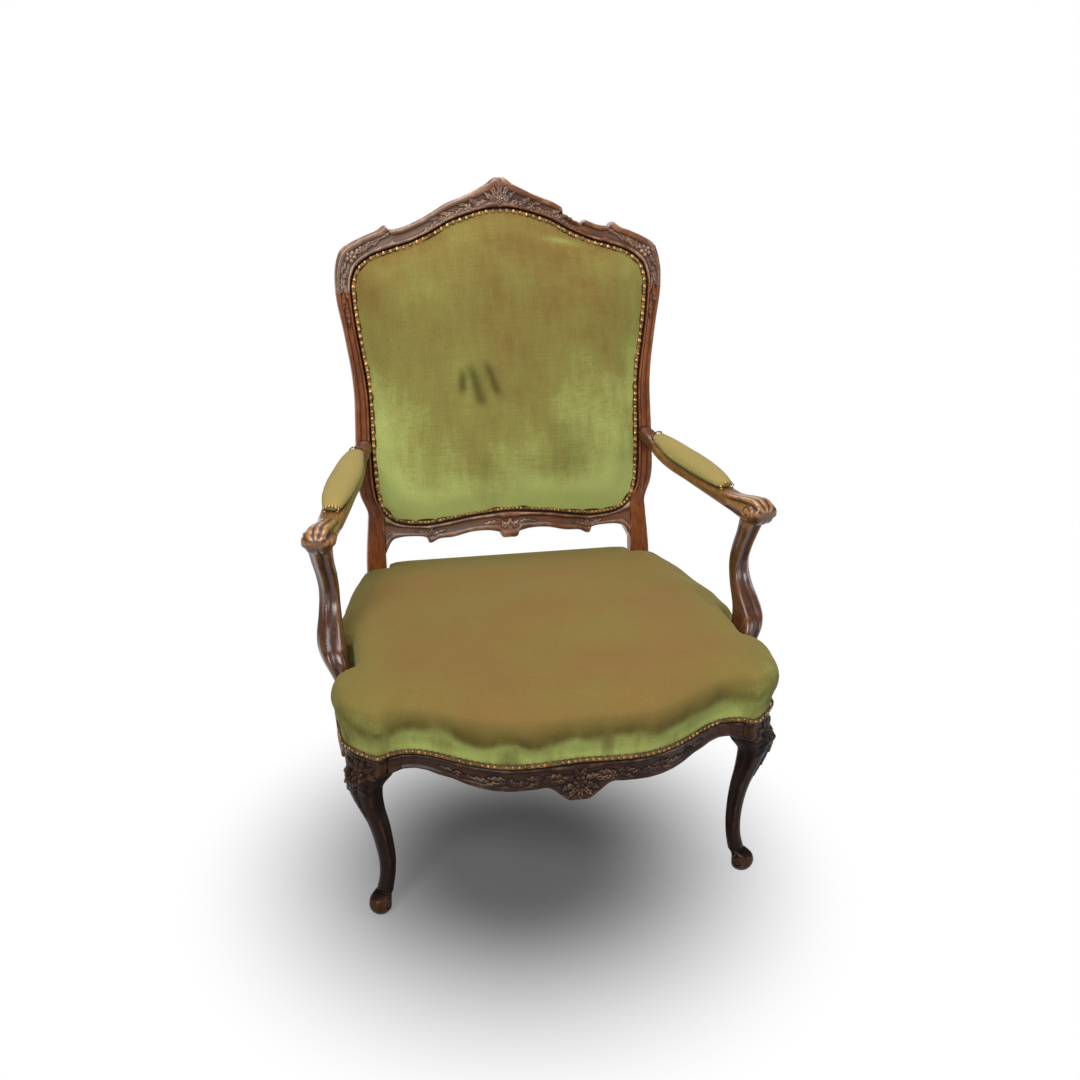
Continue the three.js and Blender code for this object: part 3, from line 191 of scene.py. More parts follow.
APRON_HALF = [[0, 1], [0.06, 0.94], [0.11, 0.6], [0.16, 0.25], [0.25, 0.2], [0.36, 0.22], [0.45, 0.22],
              [0.52, 0.19], [0.6, 0.1], [0.66, 0.0], [0.72, -0.02], [0.8, -0.14], [0.88, -0.17],
              [0.94, -0.11], [1, 0.02]]


@dataclass(frozen=True)
class Plan:
    """Turns the chair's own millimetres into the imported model's metres.

    Args:
        shift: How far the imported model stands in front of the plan, in metres.
    """

    shift: float

    def to_world(self, points: Array) -> Array:
        """Packed metres of points given in plan millimetres."""
        world = np.asarray(points, float) / 1000.0
        world[..., 1] += self.shift
        return world

    def from_world(self, points: Array) -> Array:
        """Plan millimetres of points given in packed metres."""
        plan = points * 1000
        plan[:, 1] -= self.shift * 1000
        return plan

    @staticmethod
    def on_back(x: Array, s: Array, w: Array) -> Array:
        """Plan millimetres of a place on the leaning back: across, up the back, and out to the sitter."""
        x, s, w = np.broadcast_arrays(np.asarray(x, float), s, w)
        y = BACK_ORIGIN[1] + s * math.sin(RECLINE) - w * math.cos(RECLINE)
        z = BACK_ORIGIN[2] + s * math.cos(RECLINE) + w * math.sin(RECLINE)
        return np.stack([x, y, z], axis=-1)


PLAN = Plan(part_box("rear_seat_rail")[0][1] - 0.523)


# Carving: each motif gives its height over a flat ground


@dataclass(frozen=True)
class Leaf:
    """A lobed leaf with a sunk vein.

    Args:
        x: Place of its root, across.
        y: Place of its root, up.
        angle: Direction of its tip in degrees.
        length: Root to tip.
        width: Half its widest.
        height: Height of its ridge.
        lobes: Number of lobes along an edge.
        curl: Sideways bend of the tip.
    """

    x: float
    y: float
    angle: float
    length: float
    width: float
    height: float = 3.0
    lobes: float = 3.0
    curl: float = 0.0

    def relief(self, x: Array, y: Array) -> Array:
        """Height of the motif at each place."""
        turn = math.radians(self.angle)
        dx, dy = x - self.x, y - self.y
        along = (dx * math.cos(turn) + dy * math.sin(turn)) / self.length
        across = -dx * math.sin(turn) + dy * math.cos(turn) - self.curl * along**2
        inside = np.clip(along, 0, 1)
        half = self.width * np.sin(math.pi * inside**0.8) ** 0.7
        half *= 1 - 0.3 * np.abs(np.sin(math.pi * self.lobes * inside)) ** 2
        edge = np.abs(across) / np.maximum(half, 1e-3)
        dome = np.sqrt(np.clip(1 - edge**2, 0, 1)) * (0.55 + 0.45 * inside)
        vein = 0.35 * np.exp(-((across / (0.16 * self.width)) ** 2)) * (1 - inside)
        side = 0.12 * np.cos(2 * math.pi * self.lobes * (inside - 0.35 * edge))
        inside = (along > 0) & (along < 1) & (edge < 1)
        return np.where(inside, self.height * (dome - vein + side * dome), 0.0)


@dataclass(frozen=True)
class Flower:
    """An open flower with round petals and a button.

    Args:
        x: Place of its middle, across.
        y: Place of its middle, up.
        radius: Out to the petals' tips.
        height: Height of the petals.
        petals: Number of petals.
        turn: Turn of the first petal in degrees.
    """

    x: float
    y: float
    radius: float
    height: float = 4.0
    petals: int = 5
    turn: float = 0.0

    def relief(self, x: Array, y: Array) -> Array:
        """Height of the motif at each place."""
        dx, dy = x - self.x, y - self.y
        r = np.hypot(dx, dy)
        angle = np.arctan2(dy, dx) + math.radians(self.turn)
        lobe = np.abs(np.cos(self.petals * angle / 2))
        reach = self.radius * (0.62 + 0.38 * lobe**0.6)
        inside = r / reach
        petal = self.height * np.clip(1 - inside**4, 0, 1) * (0.45 + 0.55 * lobe**0.7)
        petal *= 0.55 + 0.45 * np.clip(inside * 1.6, 0, 1)
        button = self.height * 1.05 * np.sqrt(np.clip(1 - (r / (0.27 * self.radius)) ** 2, 0, 1))
        return np.maximum(np.where(inside < 1, petal, 0.0), button)


@dataclass(frozen=True)
class Volute:
    """A scroll that winds into a round eye.

    Args:
        x: Place of its eye, across.
        y: Place of its eye, up.
        radius: Out to the last turn.
        height: Height of the winding ridge.
        turns: Number of turns.
        start: Direction in which the ridge leaves, in degrees.
        hand: 1 or -1, the way it winds.
    """

    x: float
    y: float
    radius: float
    height: float = 3.0
    turns: float = 1.75
    start: float = 0.0
    hand: float = 1.0

    def relief(self, x: Array, y: Array) -> Array:
        """Height of the motif at each place."""
        dx, dy = x - self.x, y - self.y
        r = np.hypot(dx, dy)
        angle = (self.hand * (np.arctan2(dy, dx) - math.radians(self.start))) % (2 * math.pi) / (2 * math.pi)
        pitch = self.radius / (self.turns + 0.35)
        best = np.full(r.shape, 1e3)
        for winding in range(int(math.ceil(self.turns)) + 1):
            position = angle + winding
            arm = self.radius - pitch * position
            best = np.minimum(best, np.where(position <= self.turns, np.abs(r - arm), 1e3))
        ridge = self.height * np.exp(-((best / (0.32 * pitch)) ** 2))
        eye = self.height * 1.15 * np.sqrt(np.clip(1 - (r / (0.62 * pitch)) ** 2, 0, 1))
        return np.maximum(ridge, eye)


@dataclass(frozen=True)
class Ridge:
    """A raised band along a path.

    Args:
        path: Points of the path.
        half: Half its width.
        height: Height of its crown.
        taper: Share of its width left at the end.
    """

    path: tuple[tuple[float, float], ...]
    half: float = 2.5
    height: float = 2.5
    taper: float = 1.0

    def relief(self, x: Array, y: Array) -> Array:
        """Height of the motif at each place."""
        line = spaced(self.path, 10 * (len(self.path) - 1))
        best = np.zeros(np.shape(x))
        for i, (a, b) in enumerate(zip(line[:-1], line[1:])):
            run = b - a
            t = np.clip(((x - a[0]) * run[0] + (y - a[1]) * run[1]) / max(run @ run, 1e-9), 0, 1)
            far = np.hypot(x - a[0] - t * run[0], y - a[1] - t * run[1])
            half = self.half * mix(1.0, self.taper, (i + 0.5) / (len(line) - 1))
            best = np.maximum(best, np.sqrt(np.clip(1 - (far / half) ** 2, 0, 1)) * half / self.half)
        return self.height * best


Motif = Leaf | Flower | Volute | Ridge


@dataclass(frozen=True)
class Carving:
    """Motifs cut into one ground, the same on both sides of the middle.

    Args:
        motifs: What is carved, on the side of positive x.
    """

    motifs: tuple[Motif, ...]

    def relief(self, x: Array, y: Array) -> Array:
        """Height of the carving at each place, mirrored over x = 0."""
        height = np.zeros(np.shape(x))
        for motif in self.motifs:
            height = np.maximum(height, motif.relief(np.abs(x), y))
        return height


BACK_CARVING = Carving((
    Leaf(0, 716, 90, 42, 8, 6.5, 3.4), Leaf(3, 716, 62, 34, 7, 5.5, 3, 3),
    Leaf(6, 714, 28, 28, 6, 5, 3, 4), Leaf(4, 712, -8, 22, 5, 4, 2.5, -3),
    Leaf(0, 718, -90, 17, 6, 4.5, 2.5), Flower(0, 717, 8, 6, 6, 90),
    Ridge(((22, 742), (36, 736), (52, 728), (76, 718), (98, 708), (110, 701)), 3.4, 4.2, 0.6),
    Leaf(22, 714, -14, 26, 7, 4.4, 3, -3), Leaf(38, 710, 22, 24, 6, 4.2, 3, 2),
    Flower(58, 703, 9.5, 5, 5, 20), Leaf(66, 703, -38, 22, 6, 4.2, 3, 2),
    Leaf(62, 708, 12, 26, 5.5, 4, 3, 3), Leaf(84, 696, -30, 24, 6, 4, 3, -3),
    Leaf(92, 694, -4, 20, 4.5, 3.4, 2.5, 2), Flower(106, 684, 7.5, 4.4, 5, 0),
    Leaf(111, 682, -40, 24, 5.5, 3.6, 3, 2), Leaf(112, 688, -14, 22, 4.4, 3.2, 2.6, 2),
    Leaf(128, 671, -34, 20, 4.5, 2.8, 2.6, -2), Volute(210, 667, 8.5, 4, 1.5, 170, 1),
    Ridge(((205, 660), (222, 652), (240, 647), (258, 640)), 3, 2.6, 0.5),
    Leaf(222, 650, -24, 30, 7, 4.2, 3.2, 2), Leaf(246, 640, -40, 26, 7.5, 4.6, 3.2, 3),
    Flower(273, 622, 13, 6, 5, 30), Leaf(262, 632, 168, 26, 6.5, 3.8, 3, -3),
    Leaf(283, 614, -62, 30, 7, 4.6, 3, 3), Leaf(280, 616, 48, 20, 6, 4.2, 2.6, 0),
    Leaf(266, 616, -114, 24, 6, 3.6, 3, -2), Leaf(288, 590, -84, 34, 6.5, 4.2, 3.4, 2),
    Leaf(286, 572, -100, 30, 5, 3.6, 3, -2), Leaf(289, 556, -86, 34, 5, 3.4, 3, 2),
    Flower(287, 588, 6, 4, 5, 10), Leaf(284, 530, -96, 32, 4.5, 3, 3, 1),
    Leaf(0, 104, 90, 26, 9, 4.5, 3.2), Leaf(3, 106, 52, 24, 6.5, 4, 3, 2),
    Leaf(5, 106, 16, 26, 5.5, 3.6, 3, 2), Leaf(2, 106, -70, 14, 6, 4, 2, 0),
    Leaf(20, 122, 4, 30, 5, 3.2, 3, -2), Flower(0, 108, 6.5, 5, 5, 90),
    Leaf(152, 100, 96, 20, 6.5, 3.8, 3), Leaf(152, 104, 20, 30, 6, 3.6, 3, 3),
    Leaf(151, 104, 162, 30, 6, 3.6, 3, -3),
    Ridge(((18, 106), (45, 112), (78, 111), (108, 104), (138, 101)), 3, 2.2, 0.8),
    Ridge(((164, 107), (190, 111), (214, 109), (228, 101)), 3, 2.2, 0.8),
))

APRON_CARVING = Carving((
    Flower(0, 259, 12.5, 6.5, 6, 0), Leaf(0, 250, -90, 24, 9, 6, 3), Leaf(5, 250, -52, 22, 7, 5.4, 3, 2),
    Leaf(8, 254, -12, 24, 6.5, 5, 3, -3), Leaf(7, 262, 28, 24, 6, 4.6, 3, -2),
    Leaf(2, 266, 70, 20, 6.5, 4.4, 2.6, 0), Leaf(24, 264, -8, 26, 7, 4.4, 3, 3),
    Leaf(26, 270, 18, 26, 5.5, 4, 3, -3), Flower(50, 268, 9, 5, 5, 15),
    Leaf(56, 266, -16, 28, 6.5, 4.4, 3, 3), Leaf(58, 272, 14, 26, 5, 3.8, 3, -3),
    Leaf(80, 267, 2, 28, 6, 4, 3, -4), Leaf(82, 264, -18, 22, 4.5, 3.4, 2.6, 3),
    Flower(106, 269, 7.5, 4.2, 5, 50), Leaf(111, 268, -10, 30, 5.5, 3.8, 3, 3),
    Leaf(112, 273, 12, 28, 4.5, 3.4, 3, -3), Leaf(136, 268, 4, 28, 5, 3.4, 3, 3),
    Leaf(158, 271, -6, 26, 4.2, 3, 3, 2), Volute(179, 271, 7, 3.4, 1.5, 0, 1),
    Leaf(186, 274, 8, 24, 3.8, 2.6, 2.6, 1),
))


# Meshes


class Crease(Enum):
    """How a lofted skin is closed at its ends."""

    CAPPED = "capped"
    RING = "ring"


def curvature(grid: Array, ring: bool = True) -> Array:
    """How far each point of a grid stands proud of its neighbours, from -1 in hollows to 1 on edges.

    Args:
        grid: Points as rings by points by 3.
        ring: True where the second direction closes on itself.

    Returns:
        One number for each point.
    """
    along = np.gradient(grid, axis=0)
    if ring:
        around = (np.roll(grid, -1, 1) - np.roll(grid, 1, 1)) / 2
    else:
        around = np.gradient(grid, axis=1)
    normal = unit(np.cross(along, around))
    total = np.zeros(grid.shape[:2])
    for reach, scale in ((1, 0.35), (3, 1.1)):
        up = np.concatenate([grid[reach:], np.repeat(grid[-1:], reach, 0)])
        down = np.concatenate([np.repeat(grid[:1], reach, 0), grid[:-reach]])
        if ring:
            left, right = np.roll(grid, reach, 1), np.roll(grid, -reach, 1)
        else:
            left = np.concatenate([np.repeat(grid[:, :1], reach, 1), grid[:, :-reach]], 1)
            right = np.concatenate([grid[:, reach:], np.repeat(grid[:, -1:], reach, 1)], 1)
        proud = np.einsum("ijk,ijk->ij", grid - (up + down + left + right) / 4, normal)
        total += proud / scale
    rings = grid.mean(axis=1, keepdims=True)
    if np.einsum("ijk,ijk->ij", grid - rings, normal).sum() < 0:
        total = -total
    total[:4] = np.minimum(total[4], 0.05)
    total[-4:] = np.minimum(total[-5], 0.05)
    return np.clip(total, -1, 1)


def make_mesh(name: str, points: Array, faces: list, material: Material,
              marks: dict[str, Array] | None = None, smooth: bool = True) -> Piece:
    """Builds an object in place from points in metres.

    Args:
        name: Name of the piece.
        points: Points in packed metres.
        faces: Faces as rows of point numbers.
        material: Its finish.
        marks: Numbers kept at the points for the material.
        smooth: True for smooth shading.

    Returns:
        The object, linked to the scene.
    """
    mesh = bpy.data.meshes.new(name)
    mesh.from_pydata(np.asarray(points).reshape(-1, 3).tolist(), [], faces)
    mesh.validate()
    for label, values in (marks or {}).items():
        layer = mesh.attributes.new(label, "FLOAT", "POINT")
        layer.data.foreach_set("value", np.asarray(values, np.float32).ravel())
    mesh.polygons.foreach_set("use_smooth", [smooth] * len(mesh.polygons))
    mesh.materials.append(material)
    obj = bpy.data.objects.new(name, mesh)
    bpy.context.scene.collection.objects.link(obj)
    return obj


def outward(obj: Piece) -> None:
    """Turns every face of a closed skin outwards."""
    work = bmesh.new()
    work.from_mesh(obj.data)
    bmesh.ops.recalc_face_normals(work, faces=work.faces)
    work.to_mesh(obj.data)
    work.free()


def ring_faces(rings: int, count: int, closed: bool = False) -> list[list[int]]:
    """Faces between rings of points; the last ring meets the first one where the skin is closed."""
    numbers = np.arange(rings * count).reshape(rings, count)
    rows = np.vstack([numbers, numbers[:1]]) if closed else numbers
    a, b = rows[:-1], rows[1:]
    return np.stack([a, np.roll(a, -1, 1), np.roll(b, -1, 1), b], axis=-1).reshape(-1, 4).tolist()


def fan(start: int, count: int, tip: int) -> list[list[int]]:
    """Triangles between a ring that starts at a point number and its tip."""
    return [[start + k, start + (k + 1) % count, tip] for k in range(count)]


def loft(name: str, grid: Array, material: Material, end: Crease = Crease.CAPPED,
         marks: dict[str, Array] | None = None) -> Piece:
    """Skins rings of points, in plan millimetres.

    Args:
        name: Name of the piece.
        grid: Points as rings by points by 3, each ring closed.
        material: Its finish.
        end: How the ends close.
        marks: Numbers kept at the points; wear is added when it is missing.

    Returns:
        The object.
    """
    rings, count = grid.shape[:2]
    faces = ring_faces(rings, count, end is Crease.RING)
    if end is Crease.CAPPED:
        faces.append(list(range(count))[::-1])
        faces.append(list(range((rings - 1) * count, rings * count)))
    notes = {"wear": curvature(grid)}
    notes.update(marks or {})
    obj = make_mesh(name, PLAN.to_world(grid), faces, material, notes)
    outward(obj)
    return obj


def mirrored(obj: Piece, name: str) -> Piece:
    """Makes the right-hand copy of a left-hand piece."""
    mesh = obj.data.copy()
    mesh.name = name
    mesh.transform(Matrix.Scale(-1, 4, Vector((1, 0, 0))))
    mesh.flip_normals()
    twin = bpy.data.objects.new(name, mesh)
    bpy.context.scene.collection.objects.link(twin)
    return twin


def settle(obj: Piece, slot: str, *nodes: str) -> Piece:
    """Puts a piece in the frame.

    Args:
        obj: The piece.
        slot: Not used.
        nodes: The CAD nodes it stands for.

    Returns:
        The same object.
    """
    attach(obj, "root")
    if nodes:
        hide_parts(*nodes)
    log.info("%s: %d faces, stands for %s", obj.name, len(obj.data.polygons),
             ", ".join(nodes) or "nothing in the CAD")
    return obj


def settle_pair(left: Piece, node: str) -> None:
    """Puts a left-hand piece of walnut and its right-hand copy in the frame."""
    right = mirrored(left, left.name.removesuffix("left") + "right")
    settle(left, "walnut", node + "_left")
    settle(right, "walnut", node + "_right")


# Finishes


def srgb(code: str) -> tuple[float, float, float, float]:
    """Turns an sRGB hex value into Blender's linear colour."""
    parts = [int(code[i:i + 2], 16) / 255 for i in (0, 2, 4)]
    linear = [c / 12.92 if c <= 0.04045 else ((c + 0.055) / 1.055) ** 2.4 for c in parts]
    return (*linear, 1.0)


def add_node(tree: Tree, kind: str, settings: dict | None = None,
             links: dict | None = None) -> bpy.types.Node:
    """Adds a node.

    Args:
        tree: The tree.
        kind: Type name of the node.
        settings: Properties by name; inputs by number or name are given as "in:NAME".
        links: Sockets that feed its inputs, by input name or number.

    Returns:
        The node.
    """
    node = tree.nodes.new(kind)
    for key, value in (settings or {}).items():
        if key.startswith("in:"):
            label = key[3:]
            node.inputs[int(label) if label.isdigit() else label].default_value = value
        else:
            setattr(node, key, value)
    for key, source in (links or {}).items():
        tree.links.new(source, node.inputs[key])
    return node


@dataclass
class Brush:
    """A material in the making; each method adds one node and gives its output.

    Args:
        material: The material.
        tree: Its node tree.
        shader: Its shader.
        place: The object's own coordinates.
    """

    material: Material
    tree: Tree
    shader: bpy.types.Node
    place: Socket

    @classmethod
    def start(cls, name: str) -> "Brush":
        """Starts a material."""
        material = bpy.data.materials.new(name)
        material.use_nodes = True
        tree = material.node_tree
        shader = next(node for node in tree.nodes if node.type == "BSDF_PRINCIPLED")
        return cls(material, tree, shader, add_node(tree, "ShaderNodeTexCoord").outputs["Object"])

    def stretched(self, scale: Sequence[float]) -> Socket:
        """The object's coordinates, scaled along each axis."""
        return add_node(self.tree, "ShaderNodeMapping", {"in:Scale": scale},
                        {"Vector": self.place}).outputs[0]

    def noise(self, scale: float, detail: float = 2.0, rough: float = 0.5, twist: float = 0.0,
              at: Socket | None = None) -> Socket:
        """Cloudy noise with the given number of clouds to a metre."""
        settings = {"in:Scale": scale, "in:Detail": detail, "in:Roughness": rough, "in:Distortion": twist}
        return add_node(self.tree, "ShaderNodeTexNoise", settings,
                        {"Vector": self.place if at is None else at}).outputs[0]

    def mark(self, label: str) -> Socket:
        """A number kept at the points."""
        return add_node(self.tree, "ShaderNodeAttribute", {"attribute_name": label}).outputs["Fac"]

    def math(self, operation: str, *terms: Socket | float) -> Socket:
        """Arithmetic with sockets and numbers."""
        settings = {f"in:{i}": term for i, term in enumerate(terms) if isinstance(term, float)}
        links = {i: term for i, term in enumerate(terms) if not isinstance(term, float)}
        return add_node(self.tree, "ShaderNodeMath", {"operation": operation, **settings}, links).outputs[0]

    def ranged(self, source: Socket, low: float, high: float, first: float = 0.0,
               last: float = 1.0) -> Socket:
        """Turns `low` to `high` into `first` to `last` and stops at the ends."""
        settings = {"in:1": low, "in:2": high, "in:3": first, "in:4": last}
        return add_node(self.tree, "ShaderNodeMapRange", settings, {0: source}).outputs[0]

    def ramp(self, source: Socket, *stops: tuple[float, str]) -> Socket:
        """Colours from places and hex values."""
        node = add_node(self.tree, "ShaderNodeValToRGB", {}, {0: source})
        ramp = node.color_ramp
        while len(ramp.elements) > 1:
            ramp.elements.remove(ramp.elements[-1])
        ramp.elements[0].position = stops[0][0]
        ramp.elements[0].color = srgb(stops[0][1])
        for place, code in stops[1:]:
            ramp.elements.new(place).color = srgb(code)
        return node.outputs[0]

    def paint(self, share: Socket, under: Socket, code: str) -> Socket:
        """Lays a colour over another by a share."""
        return add_node(self.tree, "ShaderNodeMix", {"data_type": "RGBA", "in:7": srgb(code)},
                        {0: share, 6: under}).outputs[2]

    def bump(self, height: Socket, strength: float, distance: float, over: Socket | None = None) -> Socket:
        """Relief from a height, laid over another relief."""
        links = {"Height": height} if over is None else {"Height": height, "Normal": over}
        return add_node(self.tree, "ShaderNodeBump", {"in:Strength": strength, "in:Distance": distance},
                        links).outputs[0]

    def finish(self, links: dict[str, Socket], values: dict[str, object]) -> Material:
        """Feeds the shader's sockets by name and gives the material."""
        for label, source in links.items():
            self.tree.links.new(source, self.shader.inputs[label])
        for label, value in values.items():
            self.shader.inputs[label].default_value = value
        return self.material


@dataclass(frozen=True)
class WaxedWalnut:
    """Walnut, stained dark, waxed and rubbed for generations: glossy edges, dull dirt in the hollows.

    The point attribute `wear` is 1 on edges and -1 in hollows, and `rub` is 1 where hands have gone through
    the stain.

    Args:
        name: Name of the material.
        hollow: Colour of the dirt.
        ground: Colour of the polish.
        warm: Colour where the polish is thin.
        rubbed: Colour of worn edges.
        grain_axis: 0, 1 or 2, the way the grain runs.
        roughness: Roughness of the polish.
        edge_wear: How far the edges are rubbed, from 0 to 1.
        faded: Colour of the side that has faded, or none.
        coat: Weight of the wax over the polish.
        gloss: Strength of the polish's own reflection.
    """

    name: str
    hollow: str = "1C0E07"
    ground: str = "4E2814"
    warm: str = "7C4622"
    rubbed: str = "B4804E"
    grain_axis: int = 2
    roughness: float = 0.3
    edge_wear: float = 0.4
    faded: str | None = None
    coat: float = 0.3
    gloss: float = 0.5

    def build(self) -> Material:
        """The material."""
        brush = Brush.start(self.name)
        stretch = [260.0, 260.0, 260.0]
        stretch[self.grain_axis] = 18.0
        grain = brush.noise(1.0, 5.0, twist=0.6, at=brush.stretched(stretch))
        cloud = brush.noise(14.0, 4.0)
        tone = brush.math("MULTIPLY_ADD", grain, 0.55, brush.math("MULTIPLY", cloud, 0.5))
        polish = brush.ramp(tone, (0.4, self.ground), (0.64, self.warm))
        wear = brush.mark("wear")
        patch = brush.noise(48.0, 5.0)
        if self.faded:
            side = add_node(brush.tree, "ShaderNodeSeparateXYZ", {}, {0: brush.place}).outputs[0]
            old = brush.math("MULTIPLY", brush.ranged(side, 0.02, -0.12, 0.0, 0.75), cloud)
            polish = brush.paint(old, polish, self.faded)
        edge = brush.math("MULTIPLY", wear, brush.ranged(patch, 0.4, 0.66))
        worn = brush.paint(brush.ranged(edge, 0.12, 0.8, 0.0, self.edge_wear), polish, self.rubbed)
        handled = brush.math("MULTIPLY", brush.mark("rub"), tone)
        bare = brush.paint(brush.ranged(handled, 0.08, 0.56), worn, self.rubbed)
        depth = brush.ranged(wear, -0.04, -0.6, 0.0, 0.92)
        dull = brush.ranged(depth, 0.0, 1.0, self.roughness, self.roughness + 0.3)
        smear = brush.math("MULTIPLY_ADD", cloud, 0.26, -0.12)
        pores = brush.bump(grain, 0.18, 0.0005)
        return brush.finish({"Base Color": brush.paint(depth, bare, self.hollow),
                             "Roughness": brush.math("ADD", dull, smear),
                             "Normal": brush.bump(patch, 0.22, 0.002, pores)},
                            {"IOR": 1.5, "Coat Weight": self.coat, "Specular IOR Level": self.gloss,
                             "Coat Roughness": 0.22})


@dataclass(frozen=True)
class WornVelvet:
    """Cotton velvet, cut pile: olive from above, bright green where it leans over, brown where it is worn.

    The point attribute `pile` runs from 0, worn brown, over 0.5, olive, to 1, bright green, and
    `shade` darkens, for pressed pile and finger marks and for painted shade.

    Args:
        name: Name of the material.
        worn: Colour of bald pile.
        olive: Colour of sound pile.
        bright: Colour of pile that leans to the light.
        marks_and_shade_colour: Colour of pressed pile and finger marks, and of painted shade.
        blotches: How strongly the colour varies in clouds.
        threads: How strongly the ground weave shows through.
    """

    name: str
    worn: str = "7A6433"
    olive: str = "878244"
    bright: str = "AAB468"
    marks_and_shade_colour: str = "453F18"
    blotches: float = 0.6
    threads: float = 0.32

    def build(self) -> Material:
        """The material."""
        brush = Brush.start(self.name)
        cloud = brush.noise(15.0, 6.0, 0.6)
        # The ground weave, every few threads drawn as one so that it shows
        warp, weft = (brush.noise(1.0, 3.0, at=brush.stretched(stretch))
                      for stretch in ((24.0, 420.0, 420.0), (420.0, 46.0, 46.0)))
        blot = brush.math("MULTIPLY_ADD", cloud, self.blotches, -0.5 * self.blotches)
        line = brush.math("MULTIPLY_ADD", brush.math("ADD", warp, weft), self.threads, -self.threads)
        lean = brush.math("ADD", brush.mark("pile"), brush.math("ADD", blot, line))
        colour = brush.ramp(lean, (0.0, self.worn), (0.5, self.olive), (1.0, self.bright))
        fibre = brush.noise(620.0)
        # Pressed pile and finger marks darken the pile here, and so does painted shade.
        dark = brush.paint(brush.mark("shade"), colour, self.marks_and_shade_colour)
        grained = add_node(brush.tree, "ShaderNodeMix",
                           {"data_type": "RGBA", "blend_type": "MULTIPLY", "in:0": 1.0},
                           {6: dark, 7: brush.ranged(fibre, 0.3, 0.7, 0.88, 1.08)}).outputs[2]
        crush = brush.bump(cloud, 0.35, 0.004, brush.bump(fibre, 0.3, 0.001))
        return brush.finish({"Base Color": grained, "Normal": crush},
                            {"Roughness": 0.9, "Specular IOR Level": 0.12, "Sheen Weight": 0.22,
                             "Sheen Roughness": 0.4, "Sheen Tint": srgb("CFCFA0")})


@dataclass(frozen=True)
class AgedBrass:
    """Stamped brass nail heads, lacquered once and rubbed: warm, soft highlights, brown in between.

    Args:
        name: Name of the material.
        colour: Colour of the metal.
        tarnish: Colour of the tarnish.
    """

    name: str = "aged_brass"
    colour: str = "C69A60"
    tarnish: str = "6E4A28"

    def build(self) -> Material:
        """The material."""
        brush = Brush.start(self.name)
        spots = brush.noise(160.0, 3.0)
        return brush.finish({"Base Color": brush.ramp(spots, (0.35, self.tarnish), (0.58, self.colour)),
                             "Roughness": brush.ranged(spots, 0.3, 0.7, 0.5, 0.3)}, {"Metallic": 0.85})


@dataclass(frozen=True)
class WovenCloth:
    """A woven cloth or webbing with threads that show.

    Args:
        name: Name of the material.
        light: Colour of the threads.
        dark: Colour between the threads.
        pitch: Spacing of the threads in millimetres, drawn as coarse as it needs to show.
        roughness: Roughness.
    """

    name: str
    light: str
    dark: str
    pitch: float
    roughness: float = 0.9

    def build(self) -> Material:
        """The material."""
        brush = Brush.start(self.name)
        scale = 314.0 / self.pitch / 6.2832
        waves = [add_node(brush.tree, "ShaderNodeTexWave", {"bands_direction": direction, "in:Scale": scale,
                                                            "in:Distortion": 0.6, "in:Detail": 1.0},
                          {"Vector": brush.place}).outputs["Fac"] for direction in ("X", "Y", "Z")]
        weave = brush.math("MAXIMUM", brush.math("MULTIPLY", waves[0], waves[1]), waves[2])
        dusty = brush.math("MULTIPLY", weave, brush.noise(30.0, 4.0))
        return brush.finish({"Base Color": brush.ramp(dusty, (0.0, self.dark), (0.55, self.light)),
                             "Normal": brush.bump(weave, 0.6, 0.0008)}, {"Roughness": self.roughness})


@dataclass(frozen=True)
class MattedHair:
    """Curled horsehair, pressed into a mat.

    Args:
        name: Name of the material.
    """

    name: str = "matted_horsehair"

    def build(self) -> Material:
        """The material."""
        brush = Brush.start(self.name)
        curls = brush.noise(240.0, 6.0, twist=3.0)
        return brush.finish({"Base Color": brush.ramp(curls, (0.3, "17110C"), (0.7, "5B4632")),
                             "Normal": brush.bump(curls, 0.9, 0.002)}, {"Roughness": 0.8})


@dataclass(frozen=True)
class SpringWire:
    """Drawn spring steel, copper washed once, now dull with rust spots.

    Args:
        name: Name of the material.
    """

    name: str = "old_spring_steel"

    def build(self) -> Material:
        """The material."""
        brush = Brush.start(self.name)
        rust = brush.noise(90.0, 5.0)
        return brush.finish({"Base Color": brush.ramp(rust, (0.4, "8A8078"), (0.62, "6B4630")),
                             "Roughness": brush.ranged(rust, 0.3, 0.7, 0.35, 0.7)}, {"Metallic": 0.9})


